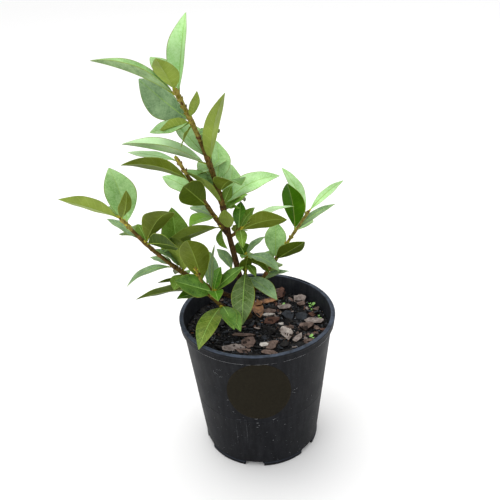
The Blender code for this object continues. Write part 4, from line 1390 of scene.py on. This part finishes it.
def grow_leaf(blades, stalks, shoot, leaf, name):
    place, bearing, rise, length, width, turn, bow, upper, under = leaf[:9]
    fold = leaf[9] if len(leaf) > 9 else USUAL_FOLD
    ahead, side, normal = leaf_axes(bearing, rise, turn)
    root = along(shoot, place)
    length, half = length * MM, width * MM / 2
    dice = random.Random(name)
    wave = dice.uniform(0.2, 0.55) * MM
    waves = dice.uniform(1.6, 2.6)
    phase = [dice.uniform(0, math.tau) for way in (0, 1)]
    rows, pitch = blade_rows(length)

    def midrib(s):
        return root + ahead * length * s + normal * bow * length * 4 * s * (1 - s)

    def spot(t, u):
        # A place on the middle sheet of the blade: t along the veins' feet, u across
        t = t + VEIN_SLANT * 4 * t * (1 - t) * abs(u)
        reach = max(half * half_width(t), (0.5 - 0.42 * t) * MM)
        way = 1 if u > 0 else 0
        swing = (t - VEIN_RUN[0]) / pitch / 2 + (0.25 if way == 0 else -0.25)
        fade = math.sin(math.pi * min(t, 1))
        puff = PUFF * math.sin(math.pi * swing) ** 2 * 4 * abs(u) * (1 - abs(u)) * fade
        edge = wave * abs(u) ** 3 * math.sin(math.tau * waves * t + phase[way]) * fade
        s = STALK_SHARE + (1 - STALK_SHARE) * t
        return midrib(s) + side * reach * u + normal * (fold * reach * abs(u) + puff + edge)

    columns = len(FIELD)
    points = {1: [], -1: []}
    for t, _ in rows:
        rib = MIDRIB_HALF * (1 - 0.7 * t) / max(half * half_width(t), RIB_ROOM)
        outwards = [rib + (1 - rib) * f for f in FIELD]
        across = [-u for u in reversed(outwards)] + [0] + outwards
        for facing in (1, -1):
            line = []
            for u in across:
                thick = EDGE_THICK + (LEAF_THICK - EDGE_THICK) * (1 - abs(u))
                if u == 0:
                    thick += -MIDRIB_GROOVE if facing == 1 else MIDRIB_KEEL * (1 - 0.6 * t)
                line.append(spot(t, u) + normal * facing * thick / 2)
            points[facing].append(line)
    count = 2 * columns + 1
    flat = [p for facing in (1, -1) for line in points[facing] for p in line]
    under_start = len(rows) * count
    faces, looks = [], []
    for i in range(len(rows) - 1):
        for j in range(count - 1):
            way = 1 if j >= columns else 0
            if j in (columns - 1, columns):
                look = (upper_rib, under_rib)
            elif j in (0, count - 2):
                look = (margin_skin, margin_skin)
            elif rows[i][1] == way:
                look = (tones["upper", upper, "vein"], tones["under", under, "vein"])
            else:
                look = (tones["upper", upper], tones["under", under])
            a = i * count + j
            faces.append([a, a + 1, a + 1 + count, a + count])
            looks.append(look[0])
            b = under_start + a
            faces.append([b, b + count, b + 1 + count, b + 1])
            looks.append(look[1])
        for j, order in ((0, 1), (count - 1, -1)):
            a = i * count + j
            faces.append([a, a + count, under_start + a + count, under_start + a][::order])
            looks.append(margin_skin)
    for j in range(count - 1):
        for a, order in ((j, 1), (under_start - count + j, -1)):
            faces.append([under_start + a, under_start + a + 1, a + 1, a][::order])
            looks.append(margin_skin)
    blades.add(flat, faces, looks)

    rings = []
    for k in range(STALK_RINGS + 1):
        s = STALK_RUN * k / STALK_RINGS
        radius = STALK_WIDTH / 2 * (1.25 - 0.9 * k / STALK_RINGS) * (1.3 if k == 0 else 1)
        middle = midrib(s) - normal * (0.15 + 0.35 * k / STALK_RINGS) * MM
        rings.append(circle_round(middle, ahead, radius, LEAF_STALK_SIDES))
    stalks.add(*tube(rings), stalk_skin)


def grow_bud(stalks, foot, ahead, length, reach, look):
    rings = []
    for share, size in BUD_RINGS:
        rings.append(circle_round(foot + ahead * share * length, ahead, size * reach, BUD_SIDES))
    stalks.add(*tube(rings), look)


def grow_node(stalks, shoot, leaf):
    # Where a leaf joins: a rough ring of bark, and a bud in the angle above the stalk
    ahead, middle, radius = heading(shoot, leaf[0]), along(shoot, leaf[0]), thickness(shoot, leaf[0])
    dice = random.Random(f"{shoot} {leaf}")
    rings = []
    for rise, swell in NODE_RINGS:
        dents = [dice.uniform(-0.07, 0.07) for dent in range(NODE_SIDES)]
        ring = circle_round(middle + ahead * rise * MM, ahead, radius * swell, NODE_SIDES)
        rings.append([p + (p - middle) * dent for p, dent in zip(ring, dents)])
    stalks.add(*tube(rings), knob_bark)
    towards = (leaf_axes(*leaf[1:3], 0)[0] + ahead * 1.8).normalized()
    grow_bud(stalks, middle + towards * radius * 0.9, towards, *BUD_SIZE, scale_skin)


def grow_scales(stalks, shoot):
    # Pairs of bud scales, each pair turned a quarter from the last, along the young end of a shoot
    if shoot not in SCALY:
        return
    first, last = SCALY[shoot]
    dice = random.Random("scales " + shoot)
    pairs = round((last - first) * shoot_length(shoot) / SCALE_STEP)
    for k in range(pairs):
        place = first + (last - first) * (k + dice.uniform(-0.2, 0.2)) / pairs
        ahead = heading(shoot, place)
        ring = circle_round(along(shoot, place), ahead, thickness(shoot, place), 4)
        for foot in ring[k % 2 :: 2]:
            out = (foot - along(shoot, place)).normalized()
            towards = (ahead * dice.uniform(1.6, 2.6) + out).normalized()
            look = scale_skin if dice.random() < 0.7 else knob_bark
            size = (dice.uniform(2.2, 3.6) * MM, dice.uniform(0.6, 0.95) * MM)
            grow_bud(stalks, foot - out * 0.3 * MM, towards, *size, look)


# Foliage masses: node name, then each shoot that the mass holds and the shares it runs between
MASSES = {
    "foliage_leader": [("leader", 0.0, 0.62)],
    "foliage_top": [("leader", 0.62, 1.0)],
    "foliage_upper_left": [("upper", 0.0, 1.0)],
    "foliage_right_stub": [("stub", 0.0, 1.0)],
    "foliage_left": [("left", 0.18, 1.0)],
    "foliage_front": [("front", 0.33, 1.0), ("rosette", 0.0, 1.0)],
    "foliage_centre": [("centre", 0.0, 1.0)],
    "foliage_spur": [("spur", 0.0, 1.0)],
    "foliage_right": [("right", 0.22, 1.0)],
}
for name, parts in MASSES.items():
    blades, stalks = Gathering(), Gathering()
    for shoot, first, last in parts:
        grow_stem(stalks, shoot, first, last)
        grow_scales(stalks, shoot)
        for k, leaf in enumerate(LEAVES.get(shoot, []) + far_leaves(shoot)):
            if first <= leaf[0] <= last:
                grow_leaf(blades, stalks, shoot, leaf, f"{shoot} {k}")
                grow_node(stalks, shoot, leaf)
    blades.piece(name.replace("foliage", "leaves"), "leaves", [name], sharp=60)
    stalks.piece(name.replace("foliage", "twigs"), "stem_bark", [name], sharp=60)


# The floor and the light
# A pale studio floor, a wide soft light overhead and a weaker one from the front left.

FLOOR_SIZE = 16
floor_mesh = bpy.data.meshes.new("floor")
reach = FLOOR_SIZE / 2
corners = [(-reach, -reach, 0), (reach, -reach, 0), (reach, reach, 0), (-reach, reach, 0)]
floor_mesh.from_pydata(corners, [], [[0, 1, 2, 3]])
floor_paint, tree, shader = material("pale studio floor", 0.9)
shader.inputs["Base Color"].default_value = rgb("f9f9f9")
floor_mesh.materials.append(floor_paint)
floor = bpy.data.objects.new("floor", floor_mesh)
bpy.context.scene.collection.objects.link(floor)

sky = bpy.data.worlds.new("soft studio")
bpy.context.scene.world = sky
sky.use_nodes = True
sky.node_tree.nodes["Background"].inputs["Color"].default_value = (1.0, 1.0, 1.0, 1)
sky.node_tree.nodes["Background"].inputs["Strength"].default_value = 1.0

LIGHT_TARGET = Vector((0, 0, 0.18))


def soft_light(name, size, power, spot, colour):
    lamp = bpy.data.lights.new(name, "AREA")
    lamp.shape = "DISK"
    lamp.size = size
    lamp.energy = power
    lamp.color = colour
    made = bpy.data.objects.new(name, lamp)
    made.location = spot
    made.rotation_euler = (LIGHT_TARGET - Vector(spot)).to_track_quat("-Z", "Y").to_euler()
    bpy.context.scene.collection.objects.link(made)


soft_light("overhead", 1.6, 14, (-0.3, 0.5, 1.8), (1.0, 0.99, 0.97))
soft_light("front_left", 0.9, 3, (-1.1, -1.0, 0.9), (0.96, 0.98, 1.0))
bpy.context.scene.view_settings.view_transform = "Standard"
